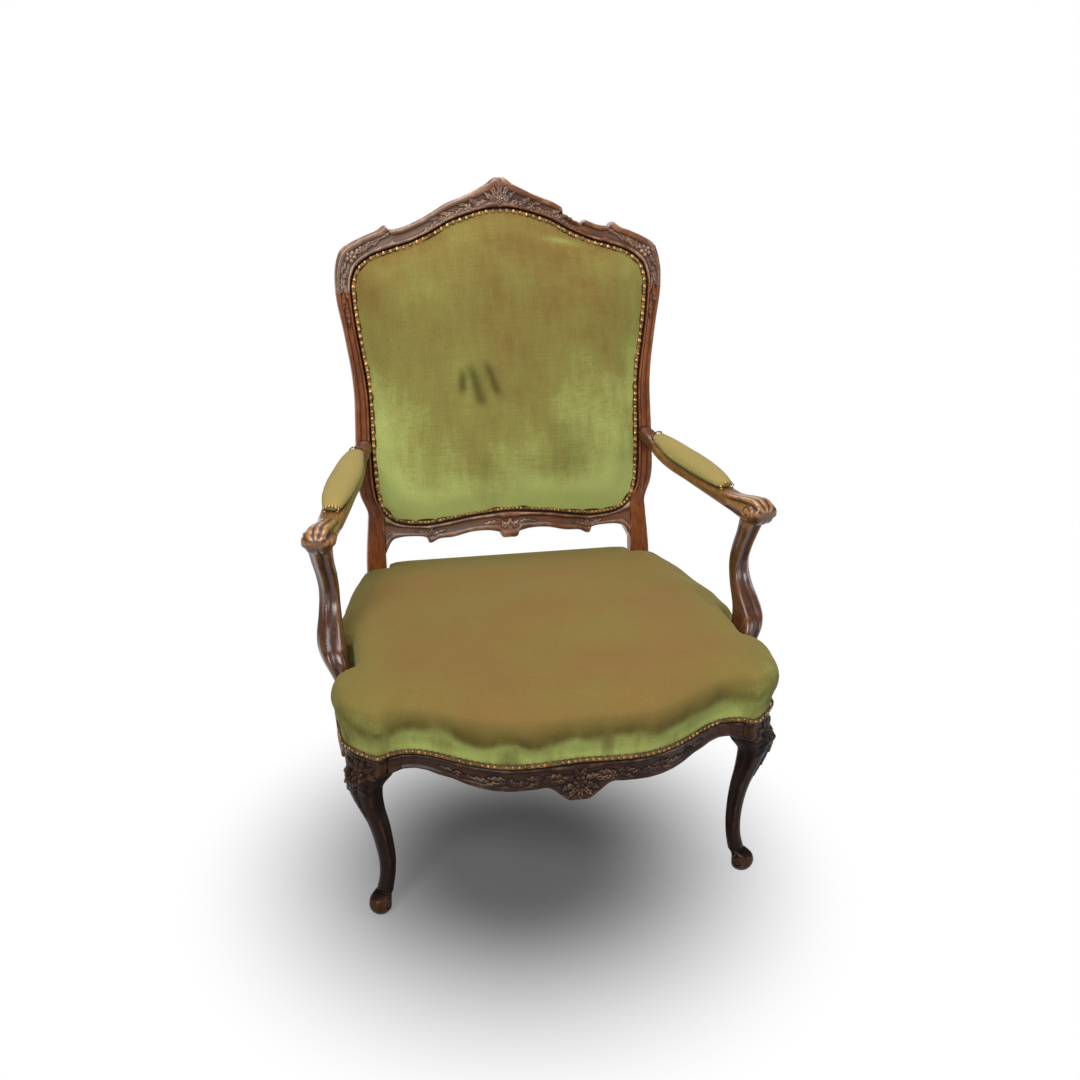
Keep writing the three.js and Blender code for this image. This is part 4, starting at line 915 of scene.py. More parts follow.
@dataclass(frozen=True)
class Finishes:
    """Every finish of the chair, built once."""

    frame_wood: Material = field(default_factory=WaxedWalnut(
        "waxed_walnut_upright", "281308", "5A2C12", "84481E", "B07C4A", edge_wear=0.3, coat=0.1,
        gloss=0.28).build)
    crest_wood: Material = field(default_factory=WaxedWalnut(
        "waxed_walnut_across", "24130B", "50301E", "7C4826", "BE9C7C", 0, 0.32, 0.6, "7A6858").build)
    apron_wood: Material = field(default_factory=WaxedWalnut(
        "waxed_walnut_apron", "080402", "24120A", "3C2010", "94745A", 0, 0.38, 0.6, coat=0.05,
        gloss=0.2).build)
    leg_wood: Material = field(default_factory=WaxedWalnut(
        "waxed_walnut_legs", "040201", "120804", "251108", "7A5430", 2, 0.34, 0.2, coat=0.03,
        gloss=0.14).build)
    arm_wood: Material = field(default_factory=WaxedWalnut(
        "rubbed_walnut_arms", "1C0E07", "371D10", "5C331C", "B9834C", 1, 0.26, 0.14).build)
    inner_wood: Material = field(default_factory=WaxedWalnut(
        "plain_walnut_inside", "2A1A10", "5A3D26", "7A5838", "8A6A48", 0, 0.6).build)
    back_velvet: Material = field(default_factory=WornVelvet("olive_velvet_back").build)
    seat_velvet: Material = field(default_factory=WornVelvet(
        "olive_velvet_seat", "7E6135", "7A6E38", "ABB564", "4A431C", 0.5, 0.2).build)
    pad_velvet: Material = field(default_factory=WornVelvet(
        "olive_velvet_pads", "9A8450", "8C8048", "9DA25E", "4A4A20", 0.4, 0.14).build)
    brass: Material = field(default_factory=AgedBrass().build)
    # A darker copy of the brass, painted shade for the seat's nails; the close row along the foot of the back
    # takes it too.
    shaded_brass: Material = field(default_factory=AgedBrass("tarnished_brass", "B08A50", "4E3A1C").build)
    gimp: Material = field(default_factory=WovenCloth("golden_gimp", "9A7844", "4A3418", 2.2, 0.85).build)
    # A darker copy of the golden gimp for the seat, painted shade under the front roll.
    shaded_gimp: Material = field(default_factory=WovenCloth("brown_gimp", "7E6038", "1E120A", 2.2, 0.85).build)
    jute: Material = field(default_factory=WovenCloth("jute_webbing", "A88C62", "4E3A22", 3.0).build)
    hessian: Material = field(default_factory=WovenCloth("coarse_hessian", "A3885E", "57432A", 2.0).build)
    hair: Material = field(default_factory=MattedHair().build)
    steel: Material = field(default_factory=SpringWire().build)


# The wooden frame

FIELD_PROFILE = [[0, -3], [0.03, -1.2], [0.09, 0.7], [0.15, 0.4], [0.2, -1.6], [0.27, -3.2], [0.42, -3.6],
                 [0.55, -3.3], [0.62, -2.2], [0.67, 0.3], [0.75, 2.2], [0.84, 2.2], [0.92, 0.3],
                 [0.97, -2.4], [1, -6]]


@dataclass
class BackFrame:
    """Stiles, crest and lower rail of the back, moulded and carved.

    Args:
        finishes: Every finish.
        face_points: Points across a member's face.
        ledge: Depth of the front rebate.
        rear_rebate: Depth of the rear rebate.
        inside: How far a member reaches inside the nail line.
        outside: How far the rebate reaches outside the nail line.
    """

    finishes: Finishes
    face_points: int = 42
    ledge: float = 8.0
    rear_rebate: float = 4.0
    inside: float = 12.0
    outside: float = 6.0

    def section(self, inner: Array, nail: Array, outer: Array, moulding: Array) -> tuple[Array, Array, Array]:
        """Rings of a member's cross section.

        Args:
            inner: Inner edge at each station.
            nail: Inner end of the moulded face.
            outer: Outer edge.
            moulding: 0 for a plain square member, 1 for the moulded one.

        Returns:
            Distance from the opening, distance out of the plane, and how much of each point is face.
        """
        inner, nail, outer, moulding = (np.asarray(v, float)[:, None] for v in (inner, nail, outer, moulding))
        t = np.linspace(0, 1, self.face_points)[None, :]
        face_u = mix(mix(inner, outer, t), mix(nail, outer, t), moulding)
        flat = -5.0 * (1 - np.sqrt(np.clip(1 - (2 * t - 1) ** 16, 0, 1)))
        face_w = mix(flat, straight(FIELD_PROFILE, t), moulding)
        thick = BACK_THICKNESS
        ones = np.ones_like(inner)
        before_u = [inner, inner, mix(inner, nail, moulding)]
        before_w = [mix(-thick + 5, -thick + self.rear_rebate, moulding), mix(-17, -self.ledge, moulding),
                    mix(-6, -self.ledge, moulding)]
        after_u = [outer, outer, outer, outer - 0.8, outer - 2.6, outer - 5,
                   mix(inner + 9, nail + 4, moulding),
                   mix(inner + 5, nail, moulding), mix(inner + 1.4, nail, moulding)]
        after_w = [-10 * ones, -20 * ones, -28 * ones, -31 * ones, -33.2 * ones, -34 * ones, -34 * ones,
                   -thick * ones, mix(-thick + 1.5, -thick + self.rear_rebate, moulding)]
        u = np.hstack([v * ones for v in before_u] + [face_u] + [v * ones for v in after_u])
        w = np.hstack([v * ones for v in before_w] + [face_w] + [v * ones for v in after_w])
        face = np.zeros_like(u)
        face[:, 3:3 + self.face_points] = np.sin(math.pi * np.clip(t, 0.02, 0.98)) ** 0.3 * moulding
        return u, w, face

    def carve(self, x: Array, s: Array, w: Array, face: Array) -> Array:
        """Raises the face by the carving."""
        height = BACK_CARVING.relief(x, s)
        sunk = np.where(height > 0.05, -3.0, w)
        return np.where(face > 0, np.maximum(w, mix(w, sunk + height, np.clip(face * 1.4, 0, 1))), w)

    def frame_rings(self, nail_points: Array, outer_points: Array) -> Array:
        """Rings across a member that follows two outlines on the back plane."""
        across = outer_points - nail_points
        length = np.linalg.norm(across, axis=1)
        across = unit(across)
        moulding = np.ones(len(length))
        u, w, face = self.section(-(self.inside + 2) * moulding, self.outside * moulding, length, moulding)
        x = nail_points[:, :1] + across[:, :1] * u
        s = nail_points[:, 1:] + across[:, 1:] * u
        return Plan.on_back(x, s, self.carve(x, s, w, face))

    def crest(self) -> None:
        """The crest rail with its missing piece of moulding."""
        half = spaced([[c, d, a, b] for a, b, c, d in CREST_HALF], 330)
        whole = np.vstack([half * [-1, 1, -1, 1], (half[:-1])[::-1]])
        outer, nail = whole[:, :2].copy(), whole[:, 2:]
        rng = np.random.default_rng(SEED)
        ragged = np.interp(outer[:, 0], np.linspace(CHIP_FROM, CHIP_TO, 15), rng.uniform(-1.2, 1.2, 15))
        across = outer[:, 0]
        begun = smoothstep(across, CHIP_FROM - 1, CHIP_FROM + 1)
        gone = begun * (1 - smoothstep(across, CHIP_TO - 1, CHIP_TO + 1))
        outer += unit(nail - outer) * ((CHIP_DEPTH + ragged) * gone)[:, None]
        obj = loft("carved_crest_rail", self.frame_rings(nail, outer), self.finishes.crest_wood)
        settle(obj, "walnut", "crest_rail")

    def lower_rail(self) -> None:
        """The lower rail with its lobe and two drops."""
        half = spaced([[x, edge, nail] for x, nail, edge in LOWER_HALF], 250)
        half[:, 0] = np.minimum(half[:, 0], 237.7)
        whole = np.vstack([(half * [-1, 1, 1])[::-1], half[1:]])
        x, edge, nail = whole.T
        ones = np.ones(len(x))
        u, w, face = self.section(-(self.inside + 2) * ones, self.outside * ones, nail - edge, ones)
        grid_x = np.repeat(x[:, None], u.shape[1], 1)
        grid_s = nail[:, None] - u
        grid = Plan.on_back(grid_x, grid_s, self.carve(grid_x, grid_s, w, face))
        settle(loft("carved_lower_rail", grid, self.finishes.crest_wood), "walnut", "lower_back_rail")

    def leg_and_stile(self) -> None:
        """The rear leg and stile, sawn from one plank, and its twin."""
        foot = [[0, 85, 232, 262, 30], [10, 83, 231, 263, 31], [30, 72, 233, 262, 28], [60, 58, 235, 262, 26],
                [100, 38, 236, 264, 27], [150, 18, 237, 268, 29], [205, 5, 237.6, 272, 31],
                [250, 0, 238, 275, 34], [298, 0, 238, 276, 34], [326, 0, 238, 276, 34]]
        z = np.concatenate([[0, 1.2], np.linspace(6, 318, 70)])
        back, inner, outer, depth = eased(foot, z).T
        plain = np.zeros(len(z))
        u, w, _ = self.section(inner, inner, outer, plain)
        low = np.stack([u, SEAT_DEPTH + 0.9 + back[:, None] - w * depth[:, None] / BACK_THICKNESS,
                        np.repeat(z[:, None], u.shape[1], 1)], axis=-1)
        s = np.concatenate([np.linspace(6, 120, 24), np.linspace(124, 559.95, 300)])
        moulding = smoothstep(s, 128, 190)
        nail = eased(NAIL_SIDE, s)[:, 0]
        outer = eased(OUTER_SIDE, s)[:, 0]
        inner = np.where(s < 180, 238.0, nail - self.inside - 2)
        beside_foot = mix(238.0, nail - self.inside - 2, smoothstep(s, 172, 188))
        inner = np.where((s >= 172) & (s < 188), beside_foot, inner)
        u, w, face = self.section(inner, np.maximum(inner, nail + self.outside), outer, moulding)
        grid_s = np.repeat(s[:, None], u.shape[1], 1)
        high = Plan.on_back(u, grid_s, self.carve(u, grid_s, w, face))
        left = loft("stile_and_rear_leg_left", np.concatenate([low, high]), self.finishes.frame_wood)
        settle_pair(left, "rear_leg_and_stile")

    def build(self) -> None:
        """Builds the whole back frame."""
        self.crest()
        self.lower_rail()
        self.leg_and_stile()


@dataclass
class SeatFrame:
    """Front rail, side rails and front legs.

    Args:
        finishes: Every finish.
        thickness: Thickness of a rail.
        height: Height of a rail.
        drop: Depth of the shell under the front rail.
        block: Width of a leg's block.
    """

    finishes: Finishes
    thickness: float = 34.0
    height: float = 60.0
    drop: float = 36.0
    block: float = 62.0

    def front_rail(self) -> None:
        """The bowed front rail with its carved shell and sprays."""
        bottom = RAIL_TOP - self.height
        x = np.linspace(-FRONT_HALF + 0.1, FRONT_HALF - 0.1, 560)
        share = np.abs(x) / FRONT_HALF
        low = bottom - eased(APRON_HALF, share)[:, 0] * self.drop
        face = np.interp(np.abs(x), FRONT_PLAN[:, 0], FRONT_PLAN[:, 1])
        slope = np.gradient(face, x)
        t = np.linspace(0, 1, 52)[None, :]
        z = mix(SKIRT_BOTTOM, low[:, None], t)
        profile = straight([[0, 0], [0.03, 2.2], [0.08, 3.6], [0.14, 3.6], [0.19, 2.2], [0.3, 1.4],
                            [0.6, 1.4], [0.72, 2.4], [0.8, 4.4], [0.88, 5.6], [0.95, 5.0],
                            [1, 2.6]], t) + 0 * z
        grid_x = np.repeat(x[:, None], t.shape[1], 1)
        mask = np.sin(math.pi * np.clip(t, 0.015, 0.985)) ** 0.3
        carving = APRON_CARVING.relief(grid_x, z)
        out = np.maximum(profile, mix(profile, np.where(carving > 0.05, 1.0 + 1.3 * carving, profile), mask))
        normal = unit(np.stack([slope, -np.ones_like(slope)], axis=1))
        px = grid_x + normal[:, :1] * out * (1 - smoothstep(np.abs(grid_x), 268, FRONT_HALF - 1))
        py = face[:, None] + normal[:, 1:] * out
        front = np.stack([px, py, z], axis=-1)
        inner = face + self.thickness
        under = np.maximum(low, bottom)
        extra = [(face + 6, low - 0.2), (face + 13, low), (face + 16, under + 0.05), (inner, under + 0.05),
                 (inner, 0 * x + RAIL_TOP), (face, 0 * x + RAIL_TOP), (face, 0 * x + 306)]
        rest = np.stack([np.stack([x, y, level], axis=-1) for y, level in extra], axis=1)
        obj = loft("carved_front_rail", np.concatenate([front, rest], axis=1), self.finishes.apron_wood)
        settle(obj, "walnut", "front_seat_rail")

    def side_rails(self) -> None:
        """The moulded side rails."""
        bottom = RAIL_TOP - self.height
        y = np.linspace(self.block + 0.3, SEAT_DEPTH - 0.3, 120)
        face = np.interp(y, SIDE_PLAN[:, 1], SIDE_PLAN[:, 0])
        share = (y - self.block) / (SEAT_DEPTH - self.block)
        low = bottom + 5 * np.sin(math.pi * share)
        t = np.linspace(0, 1, 34)[None, :]
        z = mix(SKIRT_BOTTOM, low[:, None], t)
        profile = straight([[0, 0], [0.03, 2.4], [0.1, 4.4], [0.22, 5], [0.3, 4.4], [0.38, 2.4], [0.45, 1.8],
                            [0.62, 1.8], [0.7, 3], [0.78, 4.8], [0.88, 5.4], [0.96, 4.4], [1, 2.4]], t)
        px = face[:, None] + profile * (1 - smoothstep(share, 0.95, 1.0))[:, None]
        grid = np.stack([px, np.repeat(y[:, None], t.shape[1], 1), z], axis=-1)
        inner = face - self.thickness
        extra = [(face - 8, low - 0.2), (inner + 17, low), (inner + 16, 0 * y + bottom),
                 (inner, 0 * y + bottom), (inner, 0 * y + RAIL_TOP), (face, 0 * y + RAIL_TOP),
                 (face, 0 * y + 306)]
        rest = np.stack([np.stack([x, y, level], axis=-1) for x, level in extra], axis=1)
        left = loft("side_rail_left", np.concatenate([grid, rest], axis=1), self.finishes.frame_wood)
        settle_pair(left, "side_seat_rail")

    def block_reach(self, middle: Array, directions: Array) -> Array:
        """How far rays from the block's middle run before they leave its plan."""
        plan = np.vstack([CORNER_PLAN, [[FRONT_HALF + self.block - self.thickness, self.block],
                                        [FRONT_HALF, self.block - 22]]])
        reach = np.zeros(len(directions))
        for a, b in zip(plan, np.roll(plan, -1, 0)):
            edge = b - a
            cross = directions[:, 0] * edge[1] - directions[:, 1] * edge[0]
            cross = np.where(np.abs(cross) < 1e-9, 1e-9, cross)
            t = ((a[0] - middle[0]) * edge[1] - (a[1] - middle[1]) * edge[0]) / cross
            k = ((a[0] - middle[0]) * directions[:, 1] - (a[1] - middle[1]) * directions[:, 0]) / cross
            reach = np.where((t > 0) & (k >= -1e-6) & (k <= 1 + 1e-6), np.maximum(reach, t), reach)
        return reach

    def front_legs(self) -> None:
        """The cabriole legs, carved on the knee, with scrolled toes."""
        count = 96
        middle = np.array([FRONT_HALF + 28, 32.0])
        angle = np.arange(count) / count * 2 * math.pi
        out = np.array([1, -1, 0]) / math.sqrt(2)
        along = np.array([1, 1, 0]) / math.sqrt(2)
        directions = out[None, :2] * np.cos(angle)[:, None] + along[None, :2] * np.sin(angle)[:, None]
        reach = self.block_reach(middle, directions)
        front = np.clip(np.cos(angle), 0, None) ** 0.4
        rings = []

        def block_ring(z: float, swell: float) -> Array:
            far = reach - 0.4 + swell * front
            plan = middle + directions * far[:, None]
            return np.column_stack([plan, np.full(count, z)])

        def round_ring(centre: Array, side: Array, up: Array, half_side: float, half_up: float,
                       power: float) -> Array:
            c, s = squared_circle(angle, power)
            return centre + side * (c * half_side)[:, None] + up * (s * half_up)[:, None]

        bottom = RAIL_TOP - self.height
        for z, swell in [(RAIL_TOP, 0), (SKIRT_BOTTOM - 0.3, 0), (SKIRT_BOTTOM - 1.2, 2.4),
                         (SKIRT_BOTTOM - 3.4, 3.8), (SKIRT_BOTTOM - 5.6, 3.4), (SKIRT_BOTTOM - 7.6, 1.8)]:
            rings.append(block_ring(z, swell))
        for z in np.linspace(SKIRT_BOTTOM - 9.5, bottom + 4, 16):
            rings.append(block_ring(z, 1.8 + 2.6 * smoothstep(np.array(SKIRT_BOTTOM - z), 9, 22)))
        knee = [[bottom - 14, 8, -1, 27, 25, 3], [bottom - 36, 7, 4, 25, 24, 2.6],
                [bottom - 60, 4, 8, 22, 21, 2.4], [bottom - 84, -2, 9, 18.5, 18, 2.3],
                [bottom - 112, -11, 7, 15.5, 15.5, 2.2], [bottom - 145, -18, 3, 13.5, 13.5, 2.1],
                [bottom - 178, -22, -4, 12.5, 12.5, 2], [60, -21, -8, 12.5, 12.5, 2],
                [40, -17, -11, 13.5, 13, 2]]
        rows = np.array(knee)[::-1]
        joint = rings[-1]
        top = round_ring(np.array([middle[0] + 8, middle[1] - 1, bottom - 14.0]), out, along, 27, 25, 3)
        for k in np.linspace(0, 1, 14)[1:]:
            z = mix(bottom + 4, bottom - 14, k)
            blend = smoothstep(np.array(k), 0, 1)
            ring = mix(joint, top, blend)
            ring[:, 2] = z
            rings.append(ring)
        for z in np.linspace(bottom - 15.5, 40, 112):
            across, back, half_out, half_along, power = eased(rows, np.array([z]))[0]
            rings.append(round_ring(np.array([middle[0] + across, middle[1] + back, z]), out, along, half_out,
                                    half_along, power))
        ankle = np.array([middle[0] - 17, middle[1] - 11, 0.0])
        toe = [[0, 0, 12.5, 13], [3, 1, 13, 13.4], [5.5, 6, 16, 14], [9, 11, 18, 15], [15, 14, 18.6, 15.4],
               [24, 14.5, 18.4, 15.4], [32, 13, 16.5, 14.4], [37, 11.5, 13.5, 12.6], [39, 11, 10.5, 10.5],
               [40, 11, 8, 8]]
        for k in np.concatenate([np.linspace(0.5, 36, 40), [37.5, 38.6, 39.4, 40]]):
            forward, half_out, half_along = eased(toe, np.array([k]))[0]
            centre = ankle + out * forward + np.array([0, 0, 40 - k])
            rings.append(round_ring(centre, out, along, half_out, half_along, 2.1))
        grid = np.array(rings)
        level = grid[:, 0, 2]
        from_middle = unit(grid - grid.mean(axis=1, keepdims=True))
        under = RAIL_TOP - self.height - level
        webs = (smoothstep(under, -1, 5) * (1 - smoothstep(under, 6, 44)))[:, None]
        grid[..., 0] -= 18 * webs * np.clip(-from_middle[..., 0], 0, 1) ** 0.8
        grid[..., 1] += 12 * webs * np.clip(from_middle[..., 1], 0, 1) ** 0.8
        grid = self.carve_leg(grid, angle, out, along)
        grid[..., 2] = np.maximum(grid[..., 2], 0.0)
        rub = 0.34 * (1 - smoothstep(grid[..., 2], 26, 42)) + 0.22 * smoothstep(grid[..., 2], 235, 262)
        left = loft("cabriole_leg_left", grid, self.finishes.leg_wood, marks={"rub": rub})
        settle_pair(left, "front_leg")

    def carve_leg(self, grid: Array, angle: Array, out: Array, along: Array) -> Array:
        """Cuts the knee's flower, its edge mouldings and the toe's scroll."""
        middle = grid.mean(axis=1, keepdims=True)
        radial = unit(grid - middle)
        turn = (angle + math.pi) % (2 * math.pi) - math.pi
        z = grid[..., 2]
        span = np.abs(np.einsum("ijk,k->ij", grid - middle, along))
        across = span * np.sign(turn)[None, :]
        front = (np.abs(turn) < 1.6)[None, :]
        motifs = Carving((
            Flower(0, 262, 11, 4.6, 5, 90), Leaf(0, 254, -90, 34, 8, 4.4, 3.4),
            Leaf(5, 256, -58, 26, 6, 3.8, 3, 2), Leaf(6, 266, 20, 22, 6, 3.6, 3, 2),
            Leaf(3, 270, 70, 16, 5, 3.2, 2, 0), Leaf(0, 222, -90, 30, 5, 3.2, 3),
            Leaf(18, 268, -60, 26, 5, 3.2, 3, 2), Leaf(9, 240, -70, 26, 4.5, 2.8, 3, 2),
            Leaf(0, 196, -90, 26, 3.6, 2.2, 3),
        ))
        height = motifs.relief(across, z) * front * smoothstep(z, 150, 190) * (1 - smoothstep(z, 282, 289))
        fade = smoothstep(z, 50, 110) * (1 - smoothstep(z, 240, 262))
        edge = 1.8 * (bump(np.abs(turn), 1.05, 0.16) + bump(np.abs(turn), 2.2, 0.2))[None, :] * fade
        hollow = -1.3 * bump(np.abs(turn), 1.5, 0.22)[None, :] * fade
        grid = grid + radial * (height + edge + hollow)[..., None]
        # The scroll stands on both cheeks of the toe
        low = z < 42
        forward = np.einsum("ijk,k->ij", grid, out)
        eye = np.einsum("ijk,k->ij", middle, out)[-10].mean()
        scroll = Volute(eye, 19, 14, 1.8, 1.4, 110, 1).relief(forward, z)
        cheek = smoothstep(np.abs(np.sin(angle)), 0.45, 0.8)[None, :]
        cheek = cheek * low * (np.hypot(forward - eye, z - 19) < 15)
        return grid + along * np.sign(np.sin(angle))[None, :, None] * (scroll * cheek)[..., None]

    def build(self) -> None:
        """Builds the whole seat frame."""
        self.front_rail()
        self.side_rails()
        self.front_legs()


@dataclass
class Arms:
    """Arms with reeded knuckles on swept supports.

    Args:
        finishes: Every finish.
        support_foot: Middle of a support's foot, from the seat's front.
    """

    finishes: Finishes
    support_foot: float = 172.0
    run: Rows = field(default_factory=lambda: [
        [0, 0, 36, 6, 13], [0.035, 0.07, 29, 2, 15], [0.09, 0.18, 19, -5, 18], [0.16, 0.26, 13, -12, 21],
        [0.28, 0.36, 7, -17, 22.5], [0.42, 0.49, 4, -19, 22.5], [0.56, 0.61, 2, -21, 22.5],
        [0.7, 0.72, 1, -24, 20.5], [0.8, 0.8, 4, -27, 19], [0.86, 0.85, 10, -29, 19.5],
        [0.91, 0.9, 14, -29, 21], [0.95, 0.95, 15, -28, 22], [0.98, 0.98, 10, -23, 20], [1, 1, 2, -13, 16]])
    support_run: Rows = field(default_factory=lambda: [
        [0, 0, 1, 15, 33], [0.1, 1, 6, 17, 35], [0.19, 5, 13, 20, 38], [0.26, 12, 18.5, 21.5, 40],
        [0.32, 22, 21.5, 22, 39], [0.38, 38, 22, 21, 33], [0.44, 54, 21, 19, 26], [0.52, 68, 20, 17, 20.5],
        [0.63, 75, 19.5, 16, 17.5], [0.75, 72, 22, 16.5, 17.5], [0.88, 65, 27, 17.5, 19],
        [1, 57, 30, 19.5, 22]])

    @property
    def start(self) -> Array:
        """Where the arm leaves the stile."""
        s = (ARM_HEIGHT + 20 - RAIL_TOP) / math.cos(RECLINE)
        x = float(straight(OUTER_SIDE, s)) - 15
        y = BACK_ORIGIN[1] + s * math.sin(RECLINE) - 2.4
        return np.array([x, y])

    def line(self, t: Array, spread: Array) -> Array:
        """Plan of the arm's middle line."""
        start = self.start
        return np.stack([mix(start[0], 369.0, spread), mix(start[1], 184.0, t)], axis=-1)

    def rings(self, count: int = 64) -> tuple[Array, Array, Array]:
        """Rings of the arm, their places along it and their angles."""
        t = np.concatenate([np.linspace(0, 0.76, 90), np.linspace(0.763, 0.985, 90),
                            [0.99, 0.994, 0.997, 0.999, 1.0]])
        spread, top, bottom, half = eased(self.run, t).T
        middle = self.line(t, spread)
        run = unit(np.gradient(middle, axis=0))
        side = np.column_stack([-run[:, 1], run[:, 0], np.zeros(len(t))])
        lean = (1 - smoothstep(t, 0, 0.06))[:, None]
        side = unit(mix(side, np.array([-1.0, 0, 0]) * np.sign(side[0, 0]) * -1, lean))
        up = mix(np.array([0, 0, 1.0]), np.array([0, math.sin(RECLINE), math.cos(RECLINE)]), lean)
        centre = np.column_stack([middle, ARM_HEIGHT + (top + bottom) / 2])
        angle = (np.arange(count) + 0.5) / count * 2 * math.pi
        shrink = np.ones(len(t))
        shrink[-5:] = [0.97, 0.9, 0.76, 0.5, 0.12]
        c, s = squared_circle(angle, 3.0)
        c = c[None, :] * (half * shrink)[:, None]
        s = s[None, :] * ((top - bottom) / 2 * shrink)[:, None]
        grid = centre[:, None] + side[:, None] * c[..., None] + up[:, None] * s[..., None]
        return grid, t, angle

    def arm(self) -> None:
        """The arms."""
        grid, t, angle = self.rings()
        middle = grid.mean(axis=1, keepdims=True)
        radial = unit(grid - middle)
        share = np.cos(angle)[None, :]
        upper = smoothstep(np.sin(angle), -0.5, 0.3)[None, :]
        knuckle = smoothstep(t, 0.735, 0.8)[:, None] * (1 - smoothstep(t, 0.992, 1.0))[:, None]
        reeds = 2.6 * (np.abs(np.sin(math.pi * (share * 1.9 + 0.5))) ** 0.8 - 0.55)
        end = smoothstep(t, 0.93, 0.99)[:, None]
        height = reeds * knuckle * np.maximum(upper, end)
        edge = 1.6 * bump(np.sin(angle), -0.35, 0.22)[None, :]
        edge = edge * (1 - knuckle) * smoothstep(t, 0.03, 0.1)[:, None]
        grid = grid + radial * (height + edge)[..., None]
        # Volutes on both cheeks of the knuckle
        volute = Volute(205, ARM_HEIGHT - 6, 14.5, 3.2, 1.7, 200, -1).relief(grid[..., 1], grid[..., 2])
        near = np.hypot(grid[..., 1] - 205, grid[..., 2] - ARM_HEIGHT + 6) < 17
        cheek = smoothstep(np.abs(np.cos(angle)), 0.62, 0.9)[None, :] * near
        grid[..., 0] += np.sign(radial[..., 0]) * volute * cheek
        proud = np.clip(0.45 + reeds / 2.2, 0.1, 1)
        rub = (0.85 * knuckle * np.clip(upper + 0.5 * cheek, 0, 1) * proud
               + 0.42 * smoothstep(t, 0.05, 0.12)[:, None] * (1 - knuckle) * np.ones_like(share))
        settle_pair(loft("reeded_arm_left", grid, self.finishes.arm_wood, marks={"rub": rub}), "arm")

    def support(self) -> None:
        """The swept supports."""
        count = 72
        rail = float(np.interp(self.support_foot, SIDE_PLAN[:, 1], SIDE_PLAN[:, 0])) - 17
        t = np.linspace(0, 1, 190)
        back, outside, half_across, half_along = eased(self.support_run, t).T
        angle = (np.arange(count) + 0.5) / count * 2 * math.pi
        c, s = squared_circle(angle, 2.8)
        low, high = RAIL_TOP + 0.3, ARM_HEIGHT - 29.3
        centre = np.column_stack([rail + outside, self.support_foot + back, mix(low, high, t)])
        grid = centre[:, None].repeat(count, 1)
        grid[..., 0] += c[None, :] * half_across[:, None]
        grid[..., 1] += s[None, :] * half_along[:, None]
        degrees = (np.degrees(angle) + 180) % 360 - 180
        body = smoothstep(t, 0.06, 0.2)[:, None] * (1 - 0.3 * smoothstep(t, 0.97, 1.0))[:, None]
        spoon = (1 - smoothstep(t, 0.36, 0.5))[:, None]
        hollow = sum(bump(degrees, at, width)[None, :] * depth for at, width, depth in
                     ((-96, 24, 3.4), (-36, 22, 3.2), (60, 24, 1.8), (-160, 18, 1.6)))
        ridge = sum(bump(degrees, at, 10)[None, :] for at in (-66, -2, -128)) * 1.5
        pool = (bump(degrees, -74, 30)[None, :] * 6.5) * spoon * smoothstep(t, 0.04, 0.14)[:, None]
        radial = unit(grid - grid.mean(axis=1, keepdims=True))
        depth = (ridge - hollow * mix(1.0, 0.55, spoon)) * body - pool
        grid = grid + radial * depth[..., None]
        rub = (0.07 * np.clip(depth, 0, 1) + 0.4 * smoothstep(t, 0.9, 1.0)[:, None]) * np.ones_like(depth)
        left = loft("arm_support_swept_left", grid, self.finishes.arm_wood, marks={"rub": rub})
        settle_pair(left, "arm_support")

    def build(self) -> None:
        """Builds arms and supports."""
        self.arm()
        self.support()


# Upholstery


@dataclass(frozen=True)
class Inflation:
    """Swells a closed pad with simulated cloth.

    Args:
        voxel: Size of the remesh in metres.
        cap: Most that a point may move, in metres.
        pressure: Pressure inside.
        frames: Steps of the simulation.
    """

    voxel: float = 0.006
    cap: float = 0.024
    pressure: float = 4.0
    frames: int = 20

    def run(self, obj: Piece, held: Callable[[Array], Array]) -> None:
        """Remeshes the pad, swells it and keeps the result.

        Args:
            obj: A closed pad.
            held: Gives 1 where a point in world metres is held by nails, 0 where it is free.
        """
        even_out(obj, self.voxel)
        start = coordinates(obj.data)
        weights = held(start)
        group = obj.vertex_groups.new(name="held")
        for level in range(1, 11):
            chosen = np.where(np.round(weights * 10) == level)[0].tolist()
            if chosen:
                group.add(chosen, level / 10, "REPLACE")
        cloth = obj.modifiers.new("cloth", "CLOTH")
        cloth.settings.quality = 5
        cloth.settings.mass = 0.3
        cloth.settings.tension_stiffness = 15
        cloth.settings.compression_stiffness = 15
        cloth.settings.bending_stiffness = 0.5
        cloth.settings.use_pressure = True
        cloth.settings.uniform_pressure_force = self.pressure
        cloth.settings.vertex_group_mass = "held"
        cloth.settings.effector_weights.gravity = 0
        cloth.collision_settings.use_collision = False
        cloth.point_cache.frame_start = 1
        cloth.point_cache.frame_end = self.frames
        scene = bpy.context.scene
        for step in range(1, self.frames + 1):
            scene.frame_set(step)
        seen = obj.evaluated_get(bpy.context.evaluated_depsgraph_get())
        end = coordinates(seen.data)
        obj.modifiers.remove(cloth)
        scene.frame_set(1)
        move = end - start
        far = np.linalg.norm(move, axis=1, keepdims=True)
        move *= np.minimum(1.0, self.cap / np.maximum(far, 1e-9))
        set_coordinates(obj.data, start + move * (1 - weights)[:, None])
        obj.vertex_groups.clear()
        log.info("%s: swelled by up to %.1f mm", obj.name, 1000 * float(np.linalg.norm(move, axis=1).max()))


def coordinates(mesh: bpy.types.Mesh) -> Array:
    """Points of a mesh."""
    flat = np.empty(3 * len(mesh.vertices))
    mesh.vertices.foreach_get("co", flat)
    return flat.reshape(-1, 3)


def set_coordinates(mesh: bpy.types.Mesh, points: Array) -> None:
    """Writes the points of a mesh."""
    mesh.vertices.foreach_set("co", np.asarray(points, float).ravel())
    mesh.update()


